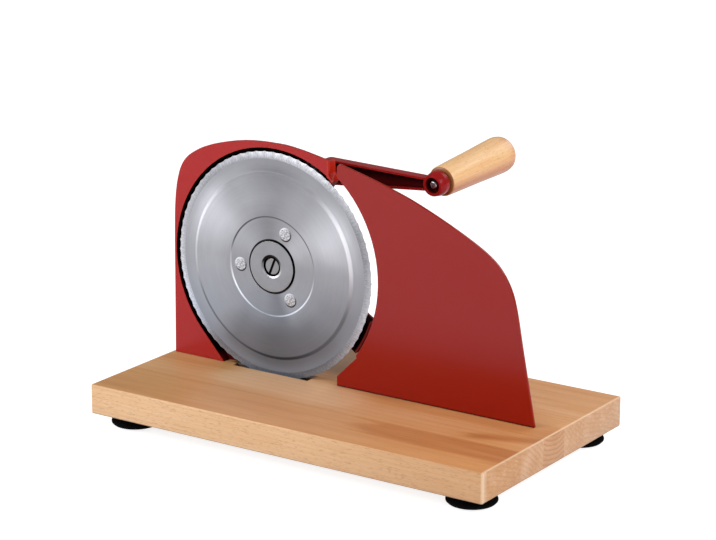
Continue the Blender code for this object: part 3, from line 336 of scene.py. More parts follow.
def red_coat(name, base, gloss=0.29, tint=None, painted_shade=None):
    """Glossy red enamel. gloss is a level or gloss(paint, place); tint(paint, place, color) paints
    light or shade in at some places; the last gives the share of black painted shade in hollows."""
    paint = Paint(name, Specular_Tint=(1, 0.76, 1))
    place = paint.place()
    color = paint.mix(paint.noise(place, 14.0), times(base, 0.96), times(base, 1.05))
    grain = paint.noise(place, 1500.0, 2.0)
    color = paint.mix(paint.scaled(grain, 0.10), color, (0.42, 0.030, 0.022))
    rough = paint.scaled(paint.noise(place, 60.0, 4.0, 0.6), 0.05, 0.20)
    if callable(gloss):
        gloss = gloss(paint, place)
    if tint:
        color = tint(paint, place, color)
    if painted_shade:
        # Painted shade: near black, rough and dull where the mask says shade falls
        shade_share = painted_shade(paint, place)
        color = paint.mix(shade_share, color, (0.006, 0.0006, 0.0006))
        rough = paint.math("MAXIMUM", rough, paint.scaled(shade_share, 0.8))
        gloss = paint.product(paint.scaled(shade_share, -0.9, 1.0), gloss)
    paint.fill(paint.surface, {"Base Color": color, "Roughness": rough, "Specular IOR Level": gloss})
    orange_peel = paint.noise(place, 700.0, 2.0, 0.45)
    paint.bump(orange_peel, 0.03, 0.4 * MM)
    return paint.material


def plate_gloss(paint, place):
    """The stop plate mirrors less where it stands close over the board."""
    return paint.scaled(paint.smooth(paint.axes(place)[2], 45 * MM, 112 * MM), 0.20, 0.10)


def plate_edge_shade(paint, place, color):
    """Painted shade: a dark line along the stop plate's lower edge, close over the board."""
    edge = paint.falling(paint.axes(place)[2], BOARD_TOP + 0.9 * MM, BOARD_TOP + 1.5 * MM, 0.85)
    return paint.mix(edge, color, (0.045, 0.004, 0.002))


def tip_painted_light(paint, place, color):
    """Painted light: brighter enamel on the wall that ends the frame at its tip, for the light from
    the right.
    """
    wall = BLADE_AXIS.x + TIP_X
    tip = paint.smooth(paint.axes(place)[0], wall - 1.7 * MM, wall - 1.3 * MM)
    return paint.mix(tip, color, (0.44, 0.018, 0.007))


def dish_painted_shade(paint, place):
    """Painted shade inside the frame's dish: behind the face, and inside the cut-out's circle or the
    straight line that runs down from it to the board. The lip at the right and the underside near
    the tip get painted shade all over."""
    x, y, z = paint.axes(place)
    across = paint.scaled(x, 1.0, -BLADE_AXIS.x)
    up = paint.scaled(z, 1.0, -BLADE_AXIS.z)
    radius = paint.vector("LENGTH", paint.point(across, up), out="Value")
    cos, sin = math.cos(SIDE_ANGLE), math.sin(SIDE_ANGLE)
    side = paint.total(paint.scaled(across, cos), paint.scaled(up, sin))
    down = paint.total(paint.scaled(across, -sin), paint.scaled(up, cos))
    left = paint.falling(across, -40 * MM, -30 * MM)
    reach = paint.mix(paint.product(paint.smooth(down, 0.0, 0.5 * MM), left), radius, side)
    inside = paint.falling(reach, CUTOUT_RADIUS + 0.1 * MM, CUTOUT_RADIUS + 0.35 * MM)
    deep = paint.smooth(y, FRONT + 0.25 * MM, FRONT + 0.6 * MM)
    front = paint.falling(y, WEB_FRONT + 0.1 * MM, WEB_FRONT + 0.3 * MM)
    above = paint.smooth(up, 0.0, 1 * MM)
    tip = paint.product(paint.smooth(across, TIP_X - 1.9 * MM, TIP_X - 1.5 * MM), above)
    foot = paint.scaled(paint.smooth(z, BOARD_TOP + 3 * MM, BOARD_TOP + 9 * MM), 0.2, 0.8)
    dish = paint.product(inside, deep, front, foot, paint.scaled(tip, -1.0, 1.0))
    below = paint.smooth(paint.scaled(paint.facing()[2], -1.0), 0.25, 0.45)
    under = paint.product(paint.smooth(across, TIP_X - 12 * MM, TIP_X - 10 * MM), below, above)
    dish = paint.math("MAXIMUM", dish, paint.scaled(under, 0.75))
    lip = paint.product(
        paint.smooth(across, 60 * MM, 62 * MM), paint.falling(up, -22 * MM, -20 * MM)
    )
    return paint.math("MAXIMUM", dish, paint.scaled(lip, 0.72))


def channel_painted_shade(paint, place):
    """Painted shade inside the crank arm's tapering channel, blackest under its upper wall, and in
    the recess of its boss, deeper than their edges."""
    x, y, z = paint.axes(paint.vector("SUBTRACT", place, CRANK_AXIS))
    cos, sin = math.cos(ARM_ANGLE), math.sin(ARM_ANGLE)
    far = paint.total(paint.scaled(x, cos), paint.scaled(z, sin))
    side = paint.total(paint.scaled(x, -sin), paint.scaled(z, cos))
    half = paint.scaled(far, (ARM_TIP_RADIUS - ARM_HUB_RADIUS) / ARM_LENGTH, ARM_HUB_RADIUS)
    edge = paint.math("SUBTRACT", half, paint.math("ABSOLUTE", side))
    within = paint.smooth(edge, 1.3 * MM, 1.7 * MM)
    deep = paint.smooth(y, ARM_FRONT + 0.3 * MM, ARM_FRONT + 4.5 * MM)
    front = paint.falling(y, ARM_FRONT + 7.6 * MM, ARM_FRONT + 7.9 * MM)
    ends = paint.band(far, 4 * MM, ARM_LENGTH - 6.5 * MM, 0.2 * MM)
    thick = paint.scaled(paint.smooth(side, -7 * MM, 3 * MM), 0.24, 0.70)
    channel = paint.product(within, deep, front, ends, thick)
    offset = paint.vector("SUBTRACT", place, BOSS_POINT)
    cross = paint.vector("CROSS_PRODUCT", offset, HANDLE_LEAN)
    recess = paint.falling(paint.vector("LENGTH", cross, out="Value"), 6.1 * MM, 6.4 * MM, 0.86)
    return paint.math("MAXIMUM", channel, recess)


# Steel

# Painted sheen of the blade's brushing as (degrees from +X towards +Z, reflectance): bright to the
# upper left and right, where the brushing faces the light, and dark below, where it faces the table
PLATEAU_SHEEN = (
    (-180, 0.335), (-138, 0.32), (-118, 0.21), (-90, 0.15), (-58, 0.19), (-30, 0.26), (0, 0.32),
    (28, 0.52), (60, 0.325), (86, 0.26), (118, 0.36), (146, 0.51), (180, 0.335),
)
MIDDLE_SHEEN = (
    (-180, 0.28), (-140, 0.30), (-110, 0.27), (-80, 0.205), (-58, 0.32), (0, 0.29), (40, 0.42),
    (65, 0.31), (95, 0.225), (145, 0.365), (180, 0.28),
)
RIM_SHEEN = (
    (-180, 0.50), (-155, 0.56), (-122, 0.24), (-95, 0.29), (-65, 0.20), (-22, 0.53), (0, 0.40),
    (15, 0.31), (75, 0.60), (135, 0.33), (160, 0.41), (180, 0.50),
)
# The same painted sheen, as highlights and dark lines, for the two steps in the blade: round its
# middle and at the plateau's edge
MIDDLE_STEP = (
    (-180, 0.45), (-150, 0.95), (-100, 0.30), (-40, 0.75), (0, 0.30), (40, 0.16), (150, 0.10),
    (180, 0.45),
)
PLATEAU_STEP = (
    (-180, 0.55), (-150, 0.20), (-85, 0.05), (-30, 0.18), (28, 0.95), (62, 0.31), (90, 0.245),
    (118, 0.34), (155, 0.90), (180, 0.55),
)
# The same painted sheen for the bevel round the hub screw's seat, as a share of the cap's color
SEAT_BEVEL = (
    (-180, 0.7), (-145, 1.6), (-105, 1.0), (-55, 2.9), (0, 1.1), (40, 0.10), (150, 0.05),
    (180, 0.7),
)


def around(paint, place):
    """How far a place lies from the local Z axis, and its angle with local -X round that axis."""
    x, y, _ = paint.axes(place)
    radius = paint.vector("LENGTH", paint.point(x, y), out="Value")
    return radius, paint.math("ARCTAN2", y, paint.scaled(x, -1.0))


def grooves(paint, radius, angle, fine, long, detail=3.0, rough=0.65):
    """Noise drawn out in circles: fine steps a metre outwards, long steps a radian round."""
    return paint.noise(
        paint.point(paint.scaled(radius, fine), paint.scaled(angle, long)), 1.0, detail, rough
    )


def sheen(paint, angle, stops):
    turn = paint.scaled(angle, 1 / math.tau, 0.5)
    levels = (((degrees + 180) / 360, gray(value)) for degrees, value in stops)
    return paint.ramp(turn, *levels, mode="EASE")


def painted_rivet_seats(paint, place, tone):
    """Painted shade and highlight for a chamfered hole round each rivet: dark to the upper right and
    pale to the lower left.
    """
    lower_left = Vector((-0.55, -0.83, 0))
    for degrees in RIVET_ANGLES:
        turn = math.radians(degrees)
        spot = Vector((-math.cos(turn), math.sin(turn), 0)) * RIVET_CIRCLE
        apart = paint.vector("DISTANCE", place, spot, out="Value")
        ring = paint.band(apart, 4.9 * MM, 6.0 * MM, 0.25 * MM)
        offset = paint.vector("SUBTRACT", place, spot)
        facing = paint.vector("DOT_PRODUCT", offset, lower_left, out="Value")
        shine = paint.ramp(
            paint.scaled(facing, 0.5 / (6 * MM), 0.5),
            (0.1, gray(0.70)), (0.4, gray(0.34)), (0.7, gray(0.07)), (0.95, gray(0.03)),
        )
        tone = paint.mix(ring, tone, shine)
    return tone


def blade_steel():
    """Steel brushed in circles round the local Z axis, with a ground rim; sheen painted into its
    color.
    """
    paint = Paint("blade_steel", Anisotropic=0.4)
    place = paint.place()
    radius, angle = around(paint, place)
    # Painted sheen: bright and dark sectors by angle, in the frame's space, so they stay put as the
    # blade turns.
    across, _, up = paint.axes(paint.vector("SUBTRACT", paint.standing_place(), BLADE_AXIS))
    wander = paint.scaled(paint.noise(place, 28.0, 2.0), 0.16, -0.08)
    turn = paint.total(paint.math("ARCTAN2", up, across), wander)
    outer = paint.smooth(radius, 36 * MM, 60 * MM)
    tone = paint.mix(outer, sheen(paint, turn, MIDDLE_SHEEN), sheen(paint, turn, PLATEAU_SHEEN))
    fine = grooves(paint, radius, angle, 2400.0, 1.6)
    wide = grooves(paint, radius, angle, 420.0, 0.8, 2.0, 0.5)
    brushed = paint.total(paint.scaled(fine, 0.20, 0.90), paint.scaled(wide, 0.10, -0.05))
    tone = paint.tinted(tone, brushed)
    # Painted sheen: the flat ring towards the rim turns a darker gray.
    ring = paint.scaled(paint.smooth(radius, 80 * MM, 88 * MM), 0.55)
    tone = paint.mix(ring, tone, gray(0.27))
    # Painted highlights and dark lines on the two steps.
    middle_step = paint.band(radius, 40.7 * MM, 42.0 * MM, 0.2 * MM)
    tone = paint.mix(middle_step, tone, sheen(paint, turn, MIDDLE_STEP))
    step = paint.band(radius, 75.6 * MM, 78.4 * MM, 0.7 * MM)
    tone = paint.mix(step, tone, sheen(paint, turn, PLATEAU_STEP))
    ground = grooves(paint, radius, angle, 300.0, 90.0, 4.0, 0.7)
    streaks = paint.ramp(ground, (0.32, gray(0.66)), (0.5, gray(0.98)), (0.66, gray(1.22)))
    # Painted sheen on the ground rim, brighter towards its edge.
    rising = paint.scaled(paint.smooth(radius, 88 * MM, BLADE_RADIUS), 0.42, 0.78)
    rim = paint.tinted(paint.tinted(sheen(paint, turn, RIM_SHEEN), streaks), rising)
    tone = paint.mix(paint.smooth(radius, 88.7 * MM, 89.3 * MM), tone, rim)
    # Painted shade and highlight round the rivets.
    tone = painted_rivet_seats(paint, place, tone)
    stain = paint.noise(place, 30.0, 4.0, 0.6)
    spots = paint.ramp(stain, (0.38, gray(0.25)), (0.66, gray(0.6)))
    tone = paint.mix(0.10, tone, spots, "OVERLAY")
    # Painted reflection: a bluer tone towards the bottom offsets the warm board mirrored there.
    high = paint.smooth(up, -85 * MM, 5 * MM)
    base = paint.tinted(tone, paint.mix(high, (0.85, 0.97, 1.20), (0.955, 0.960, 1.045)))
    rough = paint.total(
        paint.scaled(fine, 0.10, 0.28), paint.scaled(stain, 0.08), paint.scaled(step, 0.3)
    )
    metal = paint.product(paint.scaled(high, 0.60, 0.35), paint.scaled(step, -1.0, 1.0))
    paint.fill(paint.surface, {
        "Base Color": base, "Roughness": rough, "Metallic": metal,
        "Specular IOR Level": paint.scaled(step, -0.45, 0.5),
        "Tangent": paint.add("Tangent", set_up={"direction_type": "RADIAL", "axis": "Z"}),
    })
    paint.bump(paint.total(fine, paint.scaled(ground, 0.3)), 0.2, 0.02 * MM)
    return paint.material


def circular_steel(name, color, rough, anisotropic, groove, shade):
    """Steel turned or brushed in circles round the local Z axis; shade(paint, place) gives how
    much of its color a spot keeps, as painted light and shade or as mottling."""
    paint = Paint(name, Metallic=1.0, Anisotropic=anisotropic)
    place = paint.place()
    x, y, _ = paint.axes(place)
    radius = paint.vector("LENGTH", paint.point(x, y), out="Value")
    fine = grooves(paint, radius, paint.math("ARCTAN2", y, x), 2600.0, 2.2, 3.0, 0.6)
    stain = paint.noise(place, 160.0, 3.0, 0.6)
    base = paint.mix(fine, times(color, 0.82), times(color, 1.1))
    base = paint.mix(paint.scaled(stain, 0.5), base, times(color, 0.7))
    base = paint.tinted(base, shade(paint, place))
    roughness = paint.total(paint.scaled(fine, 0.10, rough - 0.10), paint.scaled(stain, 0.10))
    tangent = paint.add("Tangent", set_up={"direction_type": "RADIAL", "axis": "Z"})
    paint.fill(paint.surface, {"Base Color": base, "Roughness": roughness, "Tangent": tangent})
    paint.bump(fine, groove, 0.02 * MM)
    return paint.material


def cap_shade(paint, place):
    """Painted light and shade: painted highlights and shade by angle on the bevel round the seat, and
    black painted shade in the seat and on the cap's outer wall.
    """
    radius, angle = around(paint, place)
    depth = paint.axes(place)[2]
    seat = paint.smooth(depth, CAP_FRONT + 0.85 * MM, CAP_FRONT + 1.05 * MM)
    wall = paint.product(
        paint.smooth(radius, 20.8 * MM, 21.1 * MM),
        paint.smooth(depth, CAP_FRONT + 0.4 * MM, CAP_FRONT + 0.6 * MM),
    )
    bevel = paint.band(radius, 8.2 * MM, 10.0 * MM, 0.15 * MM)
    bright = paint.mix(bevel, gray(1.0), sheen(paint, angle, SEAT_BEVEL))
    return paint.mix(paint.math("MAXIMUM", seat, wall), bright, gray(0.02))


def head_shade(paint, place):
    """Painted shade: black in the screw's slot and round its head."""
    sunk = paint.smooth(paint.axes(place)[2], CAP_FRONT + 1.55 * MM, CAP_FRONT + 1.7 * MM)
    return paint.mix(sunk, gray(1.0), gray(0.02))


def rivet_shade(paint, place):
    """Hammered mottling."""
    mottle = paint.noise(place, 760.0, 2.0, 0.6)
    return paint.ramp(mottle, (0.38, gray(0.62)), (0.5, gray(1.0)), (0.62, gray(1.5)))


def plain_steel(name, color=(0.50, 0.50, 0.52), rough=0.28):
    paint = Paint(name, Metallic=1.0)
    place = paint.place()
    wear = paint.noise(place, 420.0, 3.0, 0.6)
    base = paint.mix(paint.noise(place, 90.0, 2.0), times(color, 0.78), color)
    roughness = paint.scaled(wear, 0.16, rough - 0.07)
    paint.fill(paint.surface, {"Base Color": base, "Roughness": roughness})
    paint.bump(wear, 0.12, 0.03 * MM)
    return paint.material


# Rubber and plastic


def rubber():
    paint = Paint("black_rubber", Roughness=0.8, Specular_IOR_Level=0.03)
    place = paint.place()
    base = paint.mix(paint.noise(place, 60.0), (0.0015, 0.0015, 0.002), (0.004, 0.004, 0.0045))
    paint.fill(paint.surface, {"Base Color": base})
    paint.bump(paint.noise(place, 1400.0, 3.0, 0.6), 0.15, 0.1 * MM)
    return paint.material


def plastic(name, dark, light, rough):
    paint = Paint(name, Roughness=rough)
    place = paint.place()
    base = paint.mix(paint.noise(place, 120.0, 2.0), dark, light)
    paint.fill(paint.surface, {"Base Color": base})
    paint.bump(paint.noise(place, 2200.0, 2.0), 0.1, 0.05 * MM)
    return paint.material


# Wood

# Staves of the board, front to back: start as a share of the width, tone, and where the middle of
# the growth rings lies: along the width as a share, and in millimetres above the board's underside
STAVES = (
    (0.00, 0.52, -0.124, -138),
    (0.258, 0.66, 0.115, -52),
    (0.42, 0.50, 0.500, 45),
    (0.57, 0.58, 1.100, 120),
    (0.717, 0.60, 0.577, -177),
)
# How strongly the rings and the pale rays show on the end grain of each stave
RING_DEPTH = ((0.00, 0.42), (0.258, 0.48), (0.42, 0.95), (0.57, 0.35), (0.717, 0.42))
RING_WIDTH = 3.8 * MM
# How far the rings' middles can lie from the board, in board widths and in millimetres
RING_SPAN = 2.0
RING_RISE = 400


def stave_rings(paint, place, share):
    """For each place on the board: its stave's tone, how far out it lies in growth rings, and the
    direction of the rings' middle."""
    _, y, z = paint.axes(place)
    width = BOARD_HIGH.y - BOARD_LOW.y
    stops = [
        (start, (tone, (at + 0.5) / RING_SPAN, height / RING_RISE + 0.5))
        for start, tone, at, height in STAVES
    ]
    stave = paint.tree.nodes.new("ShaderNodeSeparateColor")
    paint.tree.links.new(paint.ramp(share, *stops, mode="CONSTANT"), stave.inputs[0])
    tone, across, up = stave.outputs
    center_y = paint.scaled(across, RING_SPAN * width, BOARD_LOW.y - 0.5 * width)
    center_z = paint.scaled(up, RING_RISE * MM, BOARD_LOW.z - RING_RISE / 2 * MM)
    dy = paint.math("SUBTRACT", y, center_y)
    dz = paint.math("SUBTRACT", z, center_z)
    apart = paint.math("SQRT", paint.total(paint.product(dy, dy), paint.product(dz, dz)))
    warp = paint.noise(paint.stretched(place, 5, 24, 24), 1.0, 2.0, 0.4)
    phase = paint.total(paint.scaled(apart, 1 / RING_WIDTH), paint.scaled(warp, 2.6))
    return tone, phase, paint.math("ARCTAN2", dz, dy)


def board_top(paint, place, share, blend):
    """Color of the board's upper side: darker heartwood patches at the front right, a thin joint
    line and a slight drift of tone to the left; painted reflections: a pale area before the blade,
    whiter wood behind its front, and redder wood to the right, where the red plate is mirrored."""
    x, y, _ = paint.axes(place)
    ragged = paint.noise(paint.stretched(place, 22, 120, 120), 1.0, 3.0, 0.55)
    heart_edge = paint.total(x, paint.scaled(ragged, 60 * MM, -30 * MM))
    heart = paint.product(
        paint.smooth(heart_edge, 40 * MM, 60 * MM), paint.band(share, 0.115, 0.252, 0.012)
    )
    slanted = paint.total(y, paint.scaled(x, -0.3, 90 * MM))
    knot = paint.product(
        paint.smooth(heart_edge, 112 * MM, 140 * MM),
        paint.band(slanted, -8 * MM, 5 * MM, 6 * MM),
    )
    # Painted reflection of the blade: a pale area before it.
    pale = paint.product(
        paint.band(x, -105 * MM, 10 * MM, 30 * MM), paint.band(y, -50 * MM, -12 * MM, 12 * MM)
    )
    joint = paint.band(y, -64.3 * MM, -63.5 * MM, 0.4 * MM)
    dark = paint.total(
        paint.scaled(heart, 0.20), paint.scaled(knot, 0.36), paint.scaled(pale, -0.60),
        paint.scaled(joint, 0.10),
    )
    top = paint.ramp(
        paint.math("SUBTRACT", blend, dark),
        (0.15, (0.42, 0.150, 0.048)),
        (0.50, (0.61, 0.292, 0.112)),
        (0.80, (0.71, 0.415, 0.222)),
    )
    # Painted reflection: whiter behind the blade's front, redder towards the right under the red
    # plate.
    top = paint.tinted(top, (1.30, 1.44, 1.64), paint.smooth(y, -8 * MM, 12 * MM))
    top = paint.tinted(top, (1.06, 0.99, 0.94), paint.smooth(x, -20 * MM, 150 * MM))
    return paint.tinted(top, (0.98, 1.04, 1.00), paint.falling(x, -160 * MM, -40 * MM))


def board_end(paint, place, share, tone, phase, toward, ring_line):
    """End grain: the growth rings as arcs, pale rays across them and fine pores."""
    clouds = paint.scaled(paint.noise(place, 60.0), 0.5, -0.25)
    color = paint.ramp(
        paint.total(paint.scaled(tone, 0.6, 0.24), clouds),
        (0.42, (0.54, 0.255, 0.105)),
        (0.58, (0.60, 0.315, 0.145)),
        (0.74, (0.68, 0.415, 0.255)),
    )
    levels = ((start, gray(value)) for start, value in RING_DEPTH)
    depth = paint.ramp(share, *levels, mode="CONSTANT")
    faded = paint.tinted(paint.scaled(paint.noise(place, 45.0, 2.0), 0.8, 0.5), depth)
    color = paint.mix(paint.product(ring_line, faded), color, (0.46, 0.190, 0.070))
    rays = paint.noise(paint.point(toward, paint.scaled(phase, 0.06), tone), 46.0, 2.0, 0.5)
    rays = paint.ramp(rays, (0.55, gray(0.0)), (0.75, gray(1.0)))
    color = paint.mix(paint.scaled(rays, 0.34), color, (0.86, 0.62, 0.46))
    pores = paint.ramp(paint.noise(place, 1500.0, 2.0, 0.6), (0.3, gray(0.15)), (0.7, gray(0.8)))
    return paint.mix(0.15, color, pores, "OVERLAY")


def board_shadows(paint, place, color, upward, end):
    """Painted shade in the blade slot and on the ground behind it, and dimmer on the wood behind the
    gap between blade and plate; painted highlights on the edges at the right end; and a dark line
    of painted shade along the lower edge."""
    x, y, z = paint.axes(place)
    # Painted shade in the slot.
    slot = paint.product(
        paint.falling(z, BOARD_TOP - 0.9 * MM, BOARD_TOP - 0.5 * MM),
        paint.band(y, SLOT_FRONT, FRONT + 4.6 * MM, 0.2 * MM),
        paint.band(x, SLOT_LEFT, SLOT_RIGHT, 0.1 * MM),
    )
    color = paint.mix(slot, color, (0.018, 0.008, 0.005))
    # Painted shade on the ground behind the slot.
    behind = paint.product(
        paint.band(x, SLOT_LEFT - 4 * MM, SLOT_RIGHT, 3 * MM),
        paint.band(y, FRONT + 4 * MM, WEB_FRONT + 4 * MM, 0.3 * MM),
    )
    color = paint.mix(paint.scaled(behind, 0.85), color, (0.05, 0.030, 0.022))
    # Dimmer painted shade behind the gap between blade and plate.
    dim = paint.product(
        paint.band(x, -80 * MM, -22 * MM, 12 * MM),
        paint.band(y, 12 * MM, 95 * MM, 12 * MM),
        upward,
    )
    color = paint.mix(paint.scaled(dim, 0.70), color, (0.19, 0.155, 0.110))
    # Painted highlights along the right end's top edge and front corner.
    edges = paint.math(
        "MAXIMUM",
        paint.smooth(z, BOARD_TOP - 1.3 * MM, BOARD_TOP - 0.7 * MM),
        paint.falling(y, BOARD_LOW.y + 1.6 * MM, BOARD_LOW.y + 3.0 * MM),
    )
    at_end = paint.smooth(x, BOARD_HIGH.x - 1.5 * MM, BOARD_HIGH.x - 0.8 * MM)
    rim = paint.product(at_end, edges)
    color = paint.mix(paint.scaled(rim, 0.45), color, (0.96, 0.70, 0.47))
    # Painted highlight: a pale band on the end face by the front corner.
    corner_highlight = paint.product(end, paint.falling(y, BOARD_LOW.y + 2 * MM, BOARD_LOW.y + 8 * MM, 0.42))
    color = paint.mix(corner_highlight, color, (0.93, 0.72, 0.55))
    # Painted shade: a dark line along the lower edge.
    foot = paint.falling(z, BOARD_LOW.z + 0.7 * MM, BOARD_LOW.z + 1.3 * MM, 0.6)
    return paint.mix(foot, color, (0.16, 0.085, 0.045))


def beech_board():
    """Beech laid up from staves: growth rings round a line along X, so that they run as long
    lines on the top and show as arcs on the end grain; short dark ray flecks on the sides."""
    paint = Paint("beech_board", Specular_IOR_Level=0.42)
    place = paint.place()
    x, y, _ = paint.axes(place)
    share = paint.scaled(
        paint.math("SUBTRACT", y, BOARD_LOW.y), 1 / (BOARD_HIGH.y - BOARD_LOW.y)
    )
    tone, phase, toward = stave_rings(paint, place, share)
    ring = paint.math("FRACT", paint.total(phase, paint.scaled(tone, 7.0)))
    ring_line = paint.ramp(
        ring, (0.0, gray(0.05)), (0.45, gray(0.2)), (0.86, gray(1.0)), (1.0, gray(0.05))
    )
    streak = paint.noise(paint.stretched(place, 14, 640, 640), 1.0, 5.0, 0.70)
    slow = paint.noise(paint.stretched(place, 6, 34, 34), 1.0, 3.0, 0.55)
    blend = paint.total(
        paint.scaled(tone, 0.62, -0.08), paint.scaled(slow, 0.52), paint.scaled(streak, 0.46, -0.23)
    )
    facing_x, _, facing_z = paint.facing()
    end = paint.smooth(paint.math("ABSOLUTE", facing_x), 0.75, 0.97)
    upward = paint.smooth(paint.math("ABSOLUTE", facing_z), 0.70, 0.95)
    # The top's ramp in board_top is darker than the sides': painted shade on the top, which gets less
    # light.
    side = paint.ramp(
        blend,
        (0.15, (0.62, 0.330, 0.145)),
        (0.50, (0.735, 0.455, 0.245)),
        (0.85, (0.82, 0.580, 0.360)),
    )
    # Painted shade: the sides darker towards the right, away from the key lamp.
    side = paint.tinted(side, (0.88, 0.81, 0.76), paint.smooth(x, -20 * MM, 150 * MM))
    color = paint.mix(upward, side, board_top(paint, place, share, blend))
    color = paint.mix(paint.scaled(ring_line, 0.13), color, (0.36, 0.115, 0.035))
    fleck = paint.noise(paint.stretched(place, 240, 1600, 1600), 1.0, 1.0, 0.4)
    fleck = paint.ramp(fleck, (0.60, gray(0.0)), (0.68, gray(1.0)))
    shown = paint.product(fleck, paint.scaled(upward, -0.22, 0.36))
    color = paint.mix(shown, color, (0.36, 0.15, 0.06))
    color = paint.mix(end, color, board_end(paint, place, share, tone, phase, toward, ring_line))
    color = board_shadows(paint, place, color, upward, end)
    paint.fill(paint.surface, {"Base Color": color, "Roughness": paint.scaled(streak, 0.16, 0.32)})
    paint.bump(paint.math("SUBTRACT", streak, paint.scaled(fleck, 0.4)), 0.12, 0.12 * MM)
    return paint.material


def handle_wood():
    """Pale lacquered beech, its grain along the local Z axis; browner towards its far end; painted
    shade underneath and on the near end face."""
    paint = Paint("handle_wood", Roughness=0.36, Specular_IOR_Level=0.5)
    place = paint.place()
    streak = paint.noise(paint.stretched(place, 420, 420, 11), 1.0, 4.0, 0.62)
    rings = paint.noise(paint.stretched(place, 60, 60, 2.5), 1.0, 2.0, 0.5)
    lines = paint.ramp(
        paint.math("FRACT", paint.scaled(rings, 9.0)),
        (0.0, gray(0.0)), (0.6, gray(0.2)), (0.95, gray(1.0)), (1.0, gray(0.0)),
    )
    base = paint.ramp(streak, (0.28, (0.86, 0.480, 0.210)), (0.72, (0.96, 0.640, 0.340)))
    base = paint.mix(paint.scaled(lines, 0.15), base, (0.62, 0.28, 0.095))
    fleck = paint.noise(paint.stretched(place, 1500, 1500, 260), 1.0, 1.0, 0.4)
    fleck = paint.ramp(fleck, (0.63, gray(0.0)), (0.70, gray(1.0)))
    base = paint.mix(paint.scaled(fleck, 0.40), base, (0.55, 0.20, 0.08))
    # Painted shade: browner on the underside, where less light falls.
    low = paint.smooth(paint.scaled(paint.facing()[2], -1.0), -0.35, 0.55)
    base = paint.tinted(base, paint.mix(low, gray(1.0), (0.62, 0.36, 0.27)))
    reach = paint.axes(place)[2]
    base = paint.tinted(base, (0.84, 0.70, 0.72), paint.smooth(reach, 86 * MM, 103 * MM))
    # Painted shade on the near end face, which faces the boss.
    near = paint.falling(reach, WOOD_START + 0.5 * MM, WOOD_START + 1.5 * MM)
    base = paint.mix(near, base, (0.30, 0.095, 0.022))
    paint.fill(paint.surface, {"Base Color": base})
    paint.bump(streak, 0.06, 0.1 * MM)
    return paint.material


RED = red_coat("red_coat", (0.29, 0.0115, 0.0030))
PLATE_RED = red_coat("plate_red_coat", (0.280, 0.0125, 0.0028), plate_gloss, plate_edge_shade)
# The frame's enamel has a brighter base than the other reds: painted light, for the stronger light on
# it from the left.
FRAME_RED = red_coat("frame_red_coat", (0.365, 0.0115, 0.0045), tint=tip_painted_light, painted_shade=dish_painted_shade)
ARM_RED = red_coat("arm_red_coat", (0.29, 0.0075, 0.0070), 0.15, painted_shade=channel_painted_shade)
BLADE_STEEL = blade_steel()
CAP_STEEL = circular_steel("cap_steel", (0.29, 0.29, 0.31), 0.34, 0.4, 0.5, cap_shade)
SCREW_STEEL = circular_steel("hub_screw_steel", (0.27, 0.27, 0.28), 0.32, 0.2, 0.3, head_shade)
RIVET_STEEL = circular_steel("rivet_steel", (0.50, 0.50, 0.53), 0.42, 0.2, 1.0, rivet_shade)
STEEL = plain_steel("zinc_steel")
DARK_STEEL = plain_steel("oiled_steel", (0.035, 0.034, 0.033), 0.42)
BRASS = plain_steel("brass", (0.62, 0.42, 0.15), 0.3)
BOARD_WOOD = beech_board()
HANDLE_WOOD = handle_wood()
RUBBER = rubber()
GEAR_PLASTIC = plastic("gear_plastic", (0.010, 0.010, 0.011), (0.018, 0.018, 0.019), 0.5)
KNOB_PLASTIC = plastic("knob_plastic", (0.010, 0.010, 0.011), (0.020, 0.020, 0.021), 0.38)


def dress(obj, material, body=None, replaced=()):
    """Gives a piece its material and, if it is new, its body and the solids it stands for."""
    obj.data.materials.clear()
    obj.data.materials.append(material)
    if body:
        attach(obj, body)
    if replaced:
        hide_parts(*replaced)
    return obj


# Board, with softly rounded edges and the blade's slot
dress(refined("board", 0.6 * MM, 50, 3), BOARD_WOOD, "base", ["board"])

# Feet and the screws under them
FOOT = [
    (15.6, 10.7, 0.3),
    (16.8, 6.7, 1.0),
    (20.0, 4.4, 1.2),
    (20.0, 3.0, 0.9),
    (18.4, 1.3, 2.0),
    (13.2, 0, 2.0),
    (6.0, 0, 0.4),
    (5.2, 5.7, 0.2),
    (2.4, 5.7, 0),
    (2.4, 10.7, 0),
]
FOOT_SCREW_SEAT = 5.4 * MM
PAN_HEIGHT = 2.6


def pan_screw(
    name, seat, up, body, replaced, head=4.4, height=PAN_HEIGHT, length=15.0, shank=2.1
):
    """A pan-head screw with a cross recess, sizes in millimetres; up points out of the head."""
    profile = [
        (0, height, 0),
        (head * 0.72, height, 1.1),
        (head, height * 0.42, 0.5),
        (head, 0, 0.15),
        (shank, 0, 0),
        (shank, -length, 0),
        (0, -length - shank, 0),
    ]
    screw = lathe(name, profile, seat, up, 48)
    low, high = Vector((-2.2, -0.42, height - 1.1)) * MM, Vector((2.2, 0.42, height + 2)) * MM
    for turn in (25, 115):
        groove = box_object("recess", low, high)
        groove.matrix_world = screw.matrix_world @ Matrix.Rotation(math.radians(turn), 4, "Z")
        bpy.context.view_layer.update()
        cut(screw, groove)
    dress(screw, STEEL, body, replaced)


for spot in ("front_left", "front_right", "back_left", "back_right"):
    name = "foot_" + spot
    low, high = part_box(name)
    middle = (low + high) / 2
    foot = lathe(name + "_shown", FOOT, Vector((middle.x, middle.y, 0)), Z_AXIS)
    dress(foot, RUBBER, "base", [name])
    seat = Vector((middle.x, middle.y, FOOT_SCREW_SEAT))
    name = "foot_screw_" + spot
    pan_screw(name + "_shown", seat, -Z_AXIS, "base", [name])

